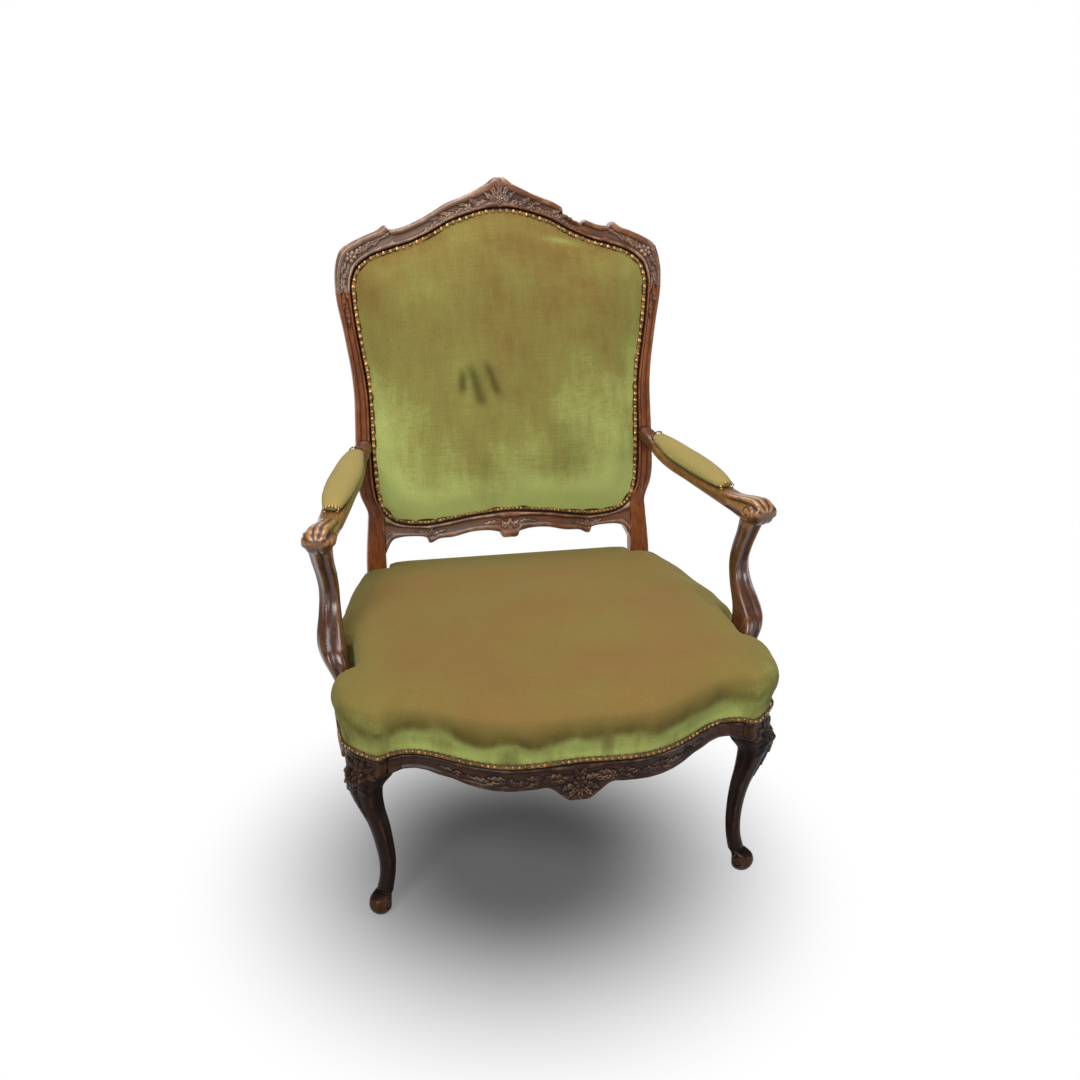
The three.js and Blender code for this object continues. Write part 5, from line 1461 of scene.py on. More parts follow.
def keep(obj: Piece) -> None:
    """Turns an object's modifiers into plain mesh."""
    graph = bpy.context.evaluated_depsgraph_get()
    made = bpy.data.meshes.new_from_object(obj.evaluated_get(graph))
    old = obj.data
    made.name = old.name
    obj.modifiers.clear()
    obj.data = made
    bpy.data.meshes.remove(old)


def even_out(obj: Piece, voxel: float) -> None:
    """Remeshes a closed skin with faces of one size, in metres."""
    remesh = obj.modifiers.new("even", "REMESH")
    remesh.mode = "VOXEL"
    remesh.voxel_size = voxel
    keep(obj)


def thicken(obj: Piece, shell: float) -> None:
    """Gives a cover its thickness in millimetres, inwards."""
    wall = obj.modifiers.new("wall", "SOLIDIFY")
    wall.thickness = shell / 1000
    wall.offset = -1
    keep(obj)
    obj.data.polygons.foreach_set("use_smooth", [True] * len(obj.data.polygons))


def drop_points(obj: Piece, gone: Array) -> None:
    """Deletes the points that are marked."""
    work = bmesh.new()
    work.from_mesh(obj.data)
    work.verts.ensure_lookup_table()
    bmesh.ops.delete(work, geom=[work.verts[i] for i in np.where(gone)[0]], context="VERTS")
    work.to_mesh(obj.data)
    work.free()


def set_mark(obj: Piece, label: str, values: Array) -> None:
    """Keeps a number at each point for the material."""
    layer = obj.data.attributes.get(label) or obj.data.attributes.new(label, "FLOAT", "POINT")
    layer.data.foreach_set("value", np.asarray(values, np.float32))


@dataclass(frozen=True)
class Ground:
    """A CAD solid that a cover lies on or follows.

    Args:
        node: Name of the solid.
        reach: How far from a point the solid is looked for, in metres.
    """

    node: str
    reach: float = 0.03

    def tree(self) -> BVHTree:
        """The solid's faces, ready to be looked up."""
        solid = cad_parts[self.node]
        corners = [solid.matrix_world @ vertex.co for vertex in solid.data.vertices]
        return BVHTree.FromPolygons(corners, [list(face.vertices) for face in solid.data.polygons])

    def shortfall(self, points: Array, directions: Array) -> Array:
        """How far out each point would move to lie on the solid, or -1 where the solid isn't met."""
        tree = self.tree()
        out = np.full(len(points), -1.0)
        for i, (point, direction) in enumerate(zip(points, directions)):
            place, _, _, along = tree.ray_cast(Vector(point + direction * self.reach), Vector(-direction),
                                               2 * self.reach)
            if place is not None:
                out[i] = self.reach - along
        return out

    def lift(self, obj: Piece, gap: float, direction: Array | None = None) -> None:
        """Moves out each point that lies less than the gap over the solid.

        Args:
            obj: The cover.
            gap: Least distance, in metres.
            direction: The way the points move; without one each takes the shortest way.
        """
        points = coordinates(obj.data)
        if direction is not None:
            way = np.tile(direction, (len(points), 1))
            points = points + way * np.clip(self.shortfall(points, way) + gap, 0, None)[:, None]
        else:
            tree = self.tree()
            for i, point in enumerate(points):
                place, normal, _, far = tree.find_nearest(Vector(point), self.reach + gap)
                if place is not None and (far < gap or (Vector(point) - place).dot(normal) < 0):
                    points[i] = place + normal * gap
        set_coordinates(obj.data, points)

    def follow(self, obj: Piece, share: float) -> None:
        """Moves each point a share of the way to the solid's outside.

        Args:
            obj: The cover.
            share: How far it goes, from 0 to 1.
        """
        points, way = coordinates(obj.data), normals_of(obj.data)
        out = self.shortfall(points, way)
        out = np.where(out == -1.0, 0.0, np.clip(out, -0.014, 0.014))
        set_coordinates(obj.data, points + way * (share * out)[:, None])


def normals_of(mesh: bpy.types.Mesh) -> Array:
    """Normals at the points of a mesh."""
    flat = np.empty(3 * len(mesh.vertices))
    mesh.vertices.foreach_get("normal", flat)
    return flat.reshape(-1, 3)


def ease(obj: Piece, rounds: int, finer: bool = False) -> None:
    """Smooths a skin, and doubles its points where asked."""
    smoother = obj.modifiers.new("smooth", "SMOOTH")
    smoother.factor = 0.5
    smoother.iterations = rounds
    if finer:
        split = obj.modifiers.new("finer", "SUBSURF")
        split.levels = split.render_levels = 1
    keep(obj)


def soft_noise(points: Array, scale: float, seed: int) -> Array:
    """Smooth waves between -1 and 1 that differ from place to place.

    Args:
        points: Places, in millimetres.
        scale: Typical size of a wave.
        seed: Picks the waves.

    Returns:
        One number for each place.
    """
    rng = np.random.default_rng(seed)
    total = np.zeros(len(points))
    for _ in range(7):
        direction = rng.normal(size=points.shape[1])
        direction /= np.linalg.norm(direction)
        total += np.sin(points @ direction * (2 * math.pi / (scale * rng.uniform(0.7, 1.6)))
                        + rng.uniform(0, 6.3))
    return total / 4.0


@dataclass
class SeatPad:
    """The seat's velvet cover over its sprung stuffing.

    Args:
        finishes: Every finish.
        start_crown: Height of the crown before the cloth swells.
        shell: Thickness of the cover.
    """

    finishes: Finishes
    start_crown: float = 76.0
    shell: float = 2.0

    def outline(self) -> tuple[Array, Array]:
        """The right half and left half of the seat's edge with outward directions."""
        stile_front = SEAT_DEPTH + 0.9 - 3.1
        faces = np.vstack([FRONT_PLAN, CORNER_PLAN[1:], SIDE_PLAN[1:-1], [[277.6, stile_front]]])
        fine = spaced(faces, 210)
        tail = np.array([[268, stile_front], [255, stile_front], [243, stile_front], [234.9, stile_front],
                         [234.9, 532], [234.9, 548]])
        half = np.vstack([fine, tail, [[200, 548], [150, 548], [100, 548], [50, 548], [0, 548]]])
        run = np.gradient(half, axis=0)
        normal = unit(np.stack([run[:, 1], -run[:, 0]], axis=1))
        normal[0] = [0, -1]
        normal[-len(tail) - 5:] = [0, 0]
        left = half[1:-1][::-1] * [-1, 1]
        left_normal = normal[1:-1][::-1] * [-1, 1]
        return np.vstack([half, left]), np.vstack([normal, left_normal])

    def closed_pad(self) -> Piece:
        """A closed pad a little smaller than the seat."""
        edge, normal = self.outline()
        centre = np.array([0.0, 250.0])
        rings = []
        soft = 1 - smoothstep(edge[:, 1], 430, 520)
        rows = [(SKIRT_BOTTOM, 2.8, 0, 0), (300, 2.8, 0, 0), (310, 2.8, 0, 0.5), (RAIL_TOP, 2.8, 0, 3),
                (RAIL_TOP + 14, 2.2, 0, 7), (RAIL_TOP + 28, 1.6, 0, 8.5), (RAIL_TOP + 40, 0, 0, 6),
                (RAIL_TOP + 50, -1, 0.02, 1.5), (RAIL_TOP + 57, -2, 0.05, 0), (RAIL_TOP + 62, -2, 0.12, 0),
                (RAIL_TOP + 67, -2, 0.25, 0), (RAIL_TOP + 71, -2, 0.42, 0),
                (RAIL_TOP + self.start_crown - 2, -2, 0.62, 0), (RAIL_TOP + self.start_crown, -2, 0.82, 0)]
        for z, out, inward, swell in rows:
            ring = edge + normal * (out + swell * soft)[:, None]
            ring = self.clear_supports(ring, z)
            ring = mix(ring, centre, inward)
            rings.append(np.column_stack([ring, np.full(len(ring), z)]))
        grid = np.array(rings)
        tip = np.array([[*centre, RAIL_TOP + self.start_crown + 0.5]])
        points = np.vstack([grid.reshape(-1, 3), tip])
        rings, count = grid.shape[:2]
        faces = ring_faces(rings, count) + [list(range(count))[::-1]]
        faces += fan((rings - 1) * count, count, len(points) - 1)
        obj = make_mesh("velvet_seat", PLAN.to_world(points), faces, self.finishes.seat_velvet)
        outward(obj)
        return obj

    @staticmethod
    def clear_supports(ring: Array, z: float) -> Array:
        """Presses the seat's edge in where an arm support stands."""
        rise = float(smoothstep(np.array(z), RAIL_TOP - 6, RAIL_TOP + 6))
        dent = 24 * smoothstep(ring[:, 1], 108, 134) * (1 - smoothstep(ring[:, 1], 214, 262)) * rise
        pressed = ring.copy()
        pressed[:, 0] -= np.sign(ring[:, 0]) * dent * smoothstep(np.abs(ring[:, 0]), 250, 330)
        return pressed

    def build(self) -> None:
        """The seat cover."""
        obj = self.closed_pad()

        def held(points: Array) -> Array:
            z = points[:, 2] * 1000
            y = (points[:, 1] - PLAN.shift) * 1000
            low = 1 - smoothstep(z, 300, 330)
            rear = smoothstep(y, 500, 525) * 0.6 * (1 - smoothstep(z, 372, 392))
            beside = smoothstep(np.abs(points[:, 0]) * 1000, 215, 250) * smoothstep(y, 70, 112)
            beside = beside * (1 - smoothstep(y, 255, 300))
            return np.clip(np.maximum(np.maximum(low, rear), beside), 0, 1)

        Inflation(0.0075, 0.016).run(obj, held)
        drop_points(obj, self.hidden(coordinates(obj.data)))

        skin = Ground("seat_cover")
        for share in (0.7, 0.6):
            skin.follow(obj, share)
            ease(obj, 2, share < 0.65)
        self.fold(obj)
        stuffing = Ground("seat_stuffing", 0.05)
        for rounds in (4, 2, 1):
            stuffing.lift(obj, 0.0036)
            ease(obj, rounds)
        stuffing.lift(obj, 0.0032)
        thicken(obj, self.shell)
        self.dress(obj)
        settle(obj, "velvet", "seat_cover")

    @staticmethod
    def hidden(points: Array) -> Array:
        """Marks the points of the pad's underside and of its rear wall."""
        x, y, z = points[:, 0] * 1000, (points[:, 1] - PLAN.shift) * 1000, points[:, 2] * 1000
        edge_y = np.interp(np.abs(x), FRONT_PLAN[:, 0], FRONT_PLAN[:, 1])
        edge_x = np.interp(y, SIDE_PLAN[:, 1], SIDE_PLAN[:, 0])
        inside = (y > np.where(np.abs(x) < 283, edge_y, -5) + 3) & (np.abs(x) < edge_x - 3) & (y < 512)
        corner = (np.abs(x) > 283) & (y < 62)
        return (z < SKIRT_BOTTOM + 1.5) | ((z < RAIL_TOP - 10) & inside & ~corner)

    def fold(self, obj: Piece) -> None:
        """Adds gathers over the nails and soft waves along the front roll."""
        points, normals = coordinates(obj.data), normals_of(obj.data)
        x, y, z = PLAN.from_world(points).T
        around = np.where(y > 30, y * 1.0 + 300, x)
        folds = soft_noise(np.column_stack([around, z * 0.25]), 34, 5)
        waves = soft_noise(np.column_stack([around, z * 0.5]), 95, 8)
        gathers = np.clip(folds, -0.2, 1) * 2.2 * smoothstep(z, 300, 318) * (1 - smoothstep(z, 345, 384))
        rolls = waves * 2.4 * smoothstep(z, 318, 345) * (1 - smoothstep(z, 392, 408))
        height = (gathers + rolls) * (1 - smoothstep(y, 470, 510))
        moved = points + normals * (height / 1000)[:, None]
        set_coordinates(obj.data, self.clear_neighbours(moved))

    @staticmethod
    def clear_neighbours(points: Array) -> Array:
        """Keeps the cover off the stiles, the rails and the arm supports."""
        plan = PLAN.from_world(points)
        x, y, z = plan.T
        side = np.abs(x)
        foot = (y > 132) & (y < 232) & (z > RAIL_TOP - 2)
        rise = np.clip((z - RAIL_TOP) / 223.4, 0, 1)
        inner = 328 + np.interp(rise, [0, 0.1, 0.19, 0.26, 0.32, 0.38], [0, 3, 11, 18, 22, 22])
        inner -= np.interp(rise, [0, 0.1, 0.19, 0.26, 0.32, 0.38], [14.5, 15, 18, 21, 22, 19]) + 3.5
        side = np.where(foot & (side > inner), inner, side)
        rear = (side > 234) & (y > 516.5)
        plan[:, 1] = np.where(rear, 516.5, y)
        plan[:, 0] = np.sign(x) * side
        return PLAN.to_world(plan)

    def dress(self, obj: Piece) -> None:
        """Gives each point its pile, and its painted shade with darker crushed pile."""
        up = normals_of(obj.data)[:, 2]
        x, y, z = PLAN.from_world(coordinates(obj.data)).T
        cloud = soft_noise(np.column_stack([x, y]), 170, 3)
        top = 0.14 + 0.1 * cloud + 0.16 * smoothstep(y, 380, 520) + 0.3 * smoothstep(np.abs(x), 240, 335)
        around = np.where(y > 30, y + 300, x)
        crushed = soft_noise(np.column_stack([around, z * 0.4]), 42, 21)
        strokes = soft_noise(np.column_stack([around, z * 0.12]), 15, 23)
        ragged = z + 8 * waves_of(around) + 6 * crushed + 1.4 * strokes - 10 * smoothstep(y, 60, 160)
        green = 1 - smoothstep(ragged, 326, 352)
        wall = 0.95 + 0.2 * crushed + 0.1 * strokes - 0.2 * smoothstep(np.abs(x), 260, 300)
        pile = mix(top + 0.2 * (1 - smoothstep(up, 0.2, 0.8)), wall, green)
        # Painted shade: a dark band along the top of the front roll's green wall, a dark line just over the
        # nails, faces that don't face up, the rear of the seat and the side of negative x. Crushed pile on
        # the green wall is darker too.
        band = bump(ragged, 347, 12) * (0.6 + 0.35 * waves_of(around * 1.7) + 0.15 * strokes) * (y < 120)
        shade = 0.5 * np.clip(band, 0, 1) + 0.4 * np.clip(-0.3 - crushed, 0, 1) * green
        shade += 0.22 * (1 - smoothstep(z, 300, 308)) + 0.12 * (1 - smoothstep(up, 0.3, 0.8)) * (1 - green)
        shade += (0.34 * smoothstep(y, 400, 520) + 0.1 * (1 - smoothstep(x, -150, 200))) * (1 - green)
        set_mark(obj, "pile", np.clip(pile, 0, 1.1))
        set_mark(obj, "shade", np.clip(shade, 0, 0.8))


def waves_of(around: Array) -> Array:
    """Slow waves along an edge, between about -1 and 1."""
    return soft_noise(around[:, None], 120, 13)


@dataclass
class BackPad:
    """Front and rear covers of the back.

    Args:
        finishes: Every finish.
        crown: Height of the crown before the cloth swells.
        shell: Thickness of the cover.
    """

    finishes: Finishes
    crown: float = 15.0
    shell: float = 2.0

    @staticmethod
    def outline(steps: int = 150) -> Array:
        """The nail line on the back plane, all the way round."""
        half = [[x, nail] for x, nail, _ in LOWER_HALF if x < 220 and x not in (14, 156)]
        half += [[x, s] for s, x in NAIL_SIDE if s > 145]
        half += [[a, b] for a, b, _, _ in CREST_HALF[1:]]
        right = spaced(half, steps)
        left = right[1:-1][::-1] * [-1, 1]
        return np.vstack([right, left])

    def inset(self, edge: Array, far: float) -> Array:
        """The outline moved towards the panel."""
        run = np.roll(edge, -1, 0) - np.roll(edge, 1, 0)
        normal = unit(np.stack([run[:, 1], -run[:, 0]], axis=1))
        return edge - normal * far

    def panel(self, name: str, rows: Rows, material: Material, tip: float, floor: float) -> Piece:
        """A closed panel over rings of the outline: [inset, share to the middle, out]."""
        edge = self.outline()
        centre = np.array([0.0, 420.0])
        rings = []
        for far, inward, w in rows:
            ring = mix(self.inset(edge, far), centre, inward)
            rings.append(Plan.on_back(ring[:, 0], ring[:, 1], np.full(len(ring), w)))
        grid = np.array(rings)
        ends = Plan.on_back(np.zeros(2), np.full(2, 420.0), np.array([tip, floor]))
        points = np.vstack([grid.reshape(-1, 3), ends])
        rings, count = grid.shape[:2]
        faces = ring_faces(rings, count) + fan((rings - 1) * count, count, len(points) - 2)
        faces += [[j, i, end] for i, j, end in fan(0, count, len(points) - 1)]
        obj = make_mesh(name, PLAN.to_world(points), faces, material)
        outward(obj)
        return obj

    @staticmethod
    def local(points: Array) -> tuple[Array, Array, Array]:
        """Across, up and out on the back plane, in millimetres."""
        plan = points * 1000
        y = plan[:, 1] - PLAN.shift * 1000 - BACK_ORIGIN[1]
        z = plan[:, 2] - BACK_ORIGIN[2]
        s = y * math.sin(RECLINE) + z * math.cos(RECLINE)
        w = -y * math.cos(RECLINE) + z * math.sin(RECLINE)
        return plan[:, 0], s, w

    def front(self) -> None:
        """The padded front."""
        rows = [[-4.5, 0, -16], [-4.5, 0, -5.2], [4, 0, -4.6], [9, 0, -2], [14, 0, 3], [19, 0.02, 6.5],
                [26, 0.08, 10], [30, 0.2, 12.5], [30, 0.4, self.crown - 1], [30, 0.7, self.crown]]
        obj = self.panel("velvet_back", rows, self.finishes.back_velvet, self.crown, -16)

        def held(points: Array) -> Array:
            _, _, w = self.local(points)
            return 1 - smoothstep(w, -3.5, 4.0)

        Inflation(0.005, 0.012).run(obj, held)
        _, _, w = self.local(coordinates(obj.data))
        drop_points(obj, w < -6.8)
        towards_sitter = Plan.on_back(0, 0, 1) - Plan.on_back(0, 0, 0)
        for gap, rounds in ((0.005, 10), (0.0044, 8), (0.0036, 4)):
            ease(obj, 2)
            Ground("back_stuffing").lift(obj, gap, towards_sitter)
            ease(obj, rounds)
        Ground("back_stuffing").lift(obj, 0.0027, towards_sitter)
        points = coordinates(obj.data)
        x, s, w = self.local(points)
        drift = (1 + soft_noise(np.column_stack([x, s * 0.5]), 120, 17)) * 0.9 * smoothstep(w, 4, 14)
        set_coordinates(obj.data, points + normals_of(obj.data) * (drift / 1000)[:, None])
        thicken(obj, self.shell)
        self.dress(obj)
        settle(obj, "velvet", "back_cover")

    def dress(self, obj: Piece) -> None:
        """Gives each point its pile, with painted light low down, and its dark marks: those that fingers left
        and a soft patch.
        """
        x, s, _ = self.local(coordinates(obj.data))
        cloud = soft_noise(np.column_stack([x, s * 0.45]), 90, 29)
        broad = soft_noise(np.column_stack([x, s * 0.6]), 260, 31)
        strokes = soft_noise(np.column_stack([x, s * 0.3]), 20, 47)
        pile = 0.2 + 0.1 * cloud + 0.08 * broad + 0.06 * strokes
        # Brighter towards the bottom: less worn pile, and painted light where the lamps reach the lower back
        # little.
        pile += 0.46 * (1 - smoothstep(s, 160, 560)) - 0.12 * smoothstep(s, 540, 660)
        pile += 0.56 * (1 - smoothstep(s, 150, 250)) * (0.85 + 0.15 * cloud)
        pile += 0.34 * (1 - smoothstep(x + 236 + 12 * cloud, 0, 60)) * smoothstep(-s, -600, -250)
        pile += 0.2 * smoothstep(x, 40, 200) * (1 - smoothstep(s, 330, 520))
        pile += 0.26 * smoothstep(x, 205, 250) * smoothstep(s, 300, 520)
        shade = np.zeros(len(x))
        for at, low, high, tilt, width in ((-84, 372, 418, 0.05, 8.5), (-59, 348, 424, -0.26, 10.5),
                                           (-26, 366, 430, -0.34, 8)):
            middle = at + tilt * (s - 390)
            mark = bump(x, middle, width) * smoothstep(s, low - 8, low + 14)
            mark = mark * (1 - smoothstep(s, high - 20, high + 10))
            shade = np.maximum(shade, 0.8 * mark)
        shade = np.maximum(shade, 0.3 * bump(x, 118, 38) * bump(s, 262, 60))
        scuff = bump(s, 643 - 0.18 * (x - 108), 5.5) * bump(x, 112, 34)
        set_mark(obj, "pile", np.clip(pile + 0.6 * scuff, 0, 1.15))
        set_mark(obj, "shade", np.clip(shade, 0, 0.92))

    def rear(self) -> None:
        """The plain cover of the outside back, drawn tight."""
        floor = -30.3
        rows = [[-3, 0, -18], [-3, 0, floor - 2.2], [2, 0, floor - 2.6], [10, 0, floor - 3.6],
                [24, 0.08, floor - 5], [30, 0.3, floor - 6.4], [30, 0.55, floor - 6.9],
                [30, 0.8, floor - 7]]
        obj = self.panel("velvet_outside_back", rows, self.finishes.back_velvet, floor - 7, -18)
        even_out(obj, 0.005)
        drop_points(obj, self.local(coordinates(obj.data))[2] > floor - 0.4)
        ease(obj, 4)
        thicken(obj, self.shell)
        points = coordinates(obj.data)
        x, s, w = self.local(points)
        waves = soft_noise(np.column_stack([x, s]), 140, 37) * smoothstep(-w, 32, 36)
        points[:, 1] += waves * 0.0009
        set_coordinates(obj.data, points)
        cloud = soft_noise(np.column_stack([x, s * 0.45]), 110, 41)
        set_mark(obj, "pile", 0.42 + 0.16 * cloud + 0.2 * (1 - smoothstep(s, 150, 300)))
        set_mark(obj, "shade", np.zeros(len(x)))
        settle(obj, "velvet", "outside_back_cover")

    def build(self) -> None:
        """Builds both covers."""
        self.front()
        self.rear()


@dataclass
class ArmPads:
    """The pads nailed to the arms.

    Args:
        finishes: Every finish.
        arms: The arms they sit on.
        from_share: Where a pad starts on the arm.
        to_share: Where it ends.
        half_width: Half its width.
        crown: Its height.
    """

    finishes: Finishes
    arms: Arms
    from_share: float = 0.075
    to_share: float = 0.69
    half_width: float = 29.0
    crown: float = 22.0

    def grid(self, grow: float = 0.0, rings: int = 60) -> Array:
        """Rings of a pad."""
        section = spaced([[-0.8, 0], [-0.98, 0.22], [-0.9, 0.58], [-0.58, 0.88], [0, 1], [0.58, 0.88],
                          [0.9, 0.58], [0.98, 0.22], [0.8, 0]], 26)
        t = np.linspace(self.from_share, self.to_share, rings)
        spread, top, _, _ = eased(self.arms.run, t).T
        line = self.arms.line(t, spread)
        run = unit(np.gradient(line, axis=0))
        side = np.column_stack([-run[:, 1], run[:, 0]])
        k = (t - self.from_share) / (self.to_share - self.from_share)
        full = np.sin(math.pi * mix(0.04, 0.96, k)) ** 0.36
        across = section[None, :, 0] * (self.half_width * full)[:, None] + grow * np.sign(section[None, :, 0])
        rise = section[None, :, 1] * (self.crown * full)[:, None]
        x = line[:, :1] + side[:, :1] * across
        y = line[:, 1:] + side[:, 1:] * across
        z = ARM_HEIGHT + top[:, None] + 0.9 + rise
        return np.stack([x, y, z], axis=-1)

    def build(self) -> None:
        """Builds both pads."""
        grid = self.grid()
        obj = loft("velvet_arm_pad_left", grid, self.finishes.pad_velvet)
        floor = {"z": grid[:, 0, 2], "y": grid[:, 0, 1]}

        def held(points: Array) -> Array:
            plan_y = (points[:, 1] - PLAN.shift) * 1000
            order = np.argsort(floor["y"])
            base = np.interp(plan_y, floor["y"][order], floor["z"][order])
            return 1 - smoothstep(points[:, 2] * 1000 - base, 2, 9)

        Inflation(0.004, 0.005).run(obj, held)
        ease(obj, 3, True)
        obj.data.polygons.foreach_set("use_smooth", [True] * len(obj.data.polygons))
        up = normals_of(obj.data)[:, 2]
        cloud = soft_noise(coordinates(obj.data)[:, :2] * 1000, 60, 43)
        set_mark(obj, "pile", np.clip(mix(0.75, 0.2, smoothstep(up, 0.2, 0.85)) + 0.14 * cloud, 0, 1))
        # Painted shade on the sides and faces turned down.
        set_mark(obj, "shade", np.clip(0.3 * (1 - smoothstep(up, -0.1, 0.45)), 0, 1))
        twin = mirrored(obj, "velvet_arm_pad_right")
        for pad, node in ((obj, "arm_pad_left"), (twin, "arm_pad_right")):
            settle(pad, "velvet", node)


# Nails and braid


@dataclass(frozen=True)
class NailRow:
    """A row of domed nails that follows a path.

    Args:
        name: Name of the piece.
        spacing: Middle to middle, in millimetres.
        radius: Radius of a head, in millimetres.
        closed: True where the path closes on itself.
    """

    name: str
    spacing: float
    radius: float
    closed: bool = False

    def tree(self) -> Tree:
        """The node tree that puts a nail at each step of the path."""
        tree = bpy.data.node_groups.new(self.name + "_nodes", "GeometryNodeTree")
        for label, kind in (("Geometry", "Geometry"), ("Spacing", "Float"), ("Head radius", "Float"),
                            ("Tilt", "Float"), ("Finish", "Material")):
            tree.interface.new_socket(label, in_out="INPUT", socket_type="NodeSocket" + kind)
        tree.interface.new_socket("Geometry", in_out="OUTPUT", socket_type="NodeSocketGeometry")
        given = add_node(tree, "NodeGroupInput")
        path = add_node(tree, "GeometryNodeMeshToCurve", {}, {"Mesh": given.outputs["Geometry"]})
        steps = add_node(tree, "GeometryNodeResampleCurve", {"mode": "LENGTH"},
                         {"Curve": path.outputs[0], "Length": given.outputs["Spacing"]})
        head = add_node(tree, "GeometryNodeMeshUVSphere", {"in:Segments": 10, "in:Rings": 6},
                        {"Radius": given.outputs["Head radius"]})
        flat = add_node(tree, "GeometryNodeTransform", {"in:Scale": (1.0, 1.0, 0.5)},
                        {"Geometry": head.outputs[0]})
        out = add_node(tree, "GeometryNodeInputNamedAttribute",
                       {"data_type": "FLOAT_VECTOR", "in:Name": "out"})
        turn = add_node(tree, "FunctionNodeAlignRotationToVector", {"axis": "Z"},
                        {"Vector": out.outputs["Attribute"]})
        negative = add_node(tree, "ShaderNodeMath", {"operation": "MULTIPLY", "in:1": -1.0},
                            {0: given.outputs["Tilt"]})
        shake = add_node(tree, "FunctionNodeRandomValue", {"data_type": "FLOAT_VECTOR", "in:Seed": SEED},
                         {"Min": negative.outputs[0], "Max": given.outputs["Tilt"]})
        tilted = add_node(tree, "FunctionNodeRotateRotation", {"rotation_space": "LOCAL"},
                          {0: turn.outputs[0], 1: shake.outputs["Value"]})
        size = add_node(tree, "FunctionNodeRandomValue", {"data_type": "FLOAT", "in:Seed": SEED + 1})
        size.inputs[2].default_value = 0.92
        size.inputs[3].default_value = 1.05
        heads = add_node(tree, "GeometryNodeInstanceOnPoints", {},
                         {"Points": steps.outputs[0], "Instance": flat.outputs[0],
                          "Rotation": tilted.outputs[0],
                          "Scale": size.outputs[1]})
        real = add_node(tree, "GeometryNodeRealizeInstances", {}, {"Geometry": heads.outputs[0]})
        smooth = add_node(tree, "GeometryNodeSetShadeSmooth", {}, {"Geometry": real.outputs[0]})
        finish = add_node(tree, "GeometryNodeSetMaterial", {},
                          {"Geometry": smooth.outputs[0], "Material": given.outputs["Finish"]})
        result = add_node(tree, "NodeGroupOutput")
        tree.links.new(finish.outputs[0], result.inputs[0])
        return tree

    def build(self, path: Array, out: Array, material: Material) -> Piece:
        """Nails along a path.

        Args:
            path: Points of the nail line in plan millimetres.
            out: Direction in which a head faces, at each point.
            material: Finish of the heads.

        Returns:
            The row as one mesh.
        """
        count = len(path)
        edges = [[i, (i + 1) % count] for i in range(count if self.closed else count - 1)]
        mesh = bpy.data.meshes.new(self.name)
        mesh.from_pydata(PLAN.to_world(path).tolist(), edges, [])
        layer = mesh.attributes.new("out", "FLOAT_VECTOR", "POINT")
        layer.data.foreach_set("vector", np.asarray(out, np.float32).ravel())
        obj = bpy.data.objects.new(self.name, mesh)
        bpy.context.scene.collection.objects.link(obj)
        length = float(np.linalg.norm(np.diff(path, axis=0), axis=1).sum())
        steps = max(1, round(length / self.spacing))
        tree = self.tree()
        modifier = obj.modifiers.new("nails", "NODES")
        modifier.node_group = tree
        values = {"Spacing": length / steps / 1000 * 0.9999, "Head radius": self.radius / 1000, "Tilt": 0.14,
                  "Finish": material}
        for item in tree.interface.items_tree:
            if item.in_out == "INPUT" and item.name in values:
                modifier[item.identifier] = values[item.name]
        keep(obj)
        if not obj.data.materials:
            obj.data.materials.append(material)
        return obj


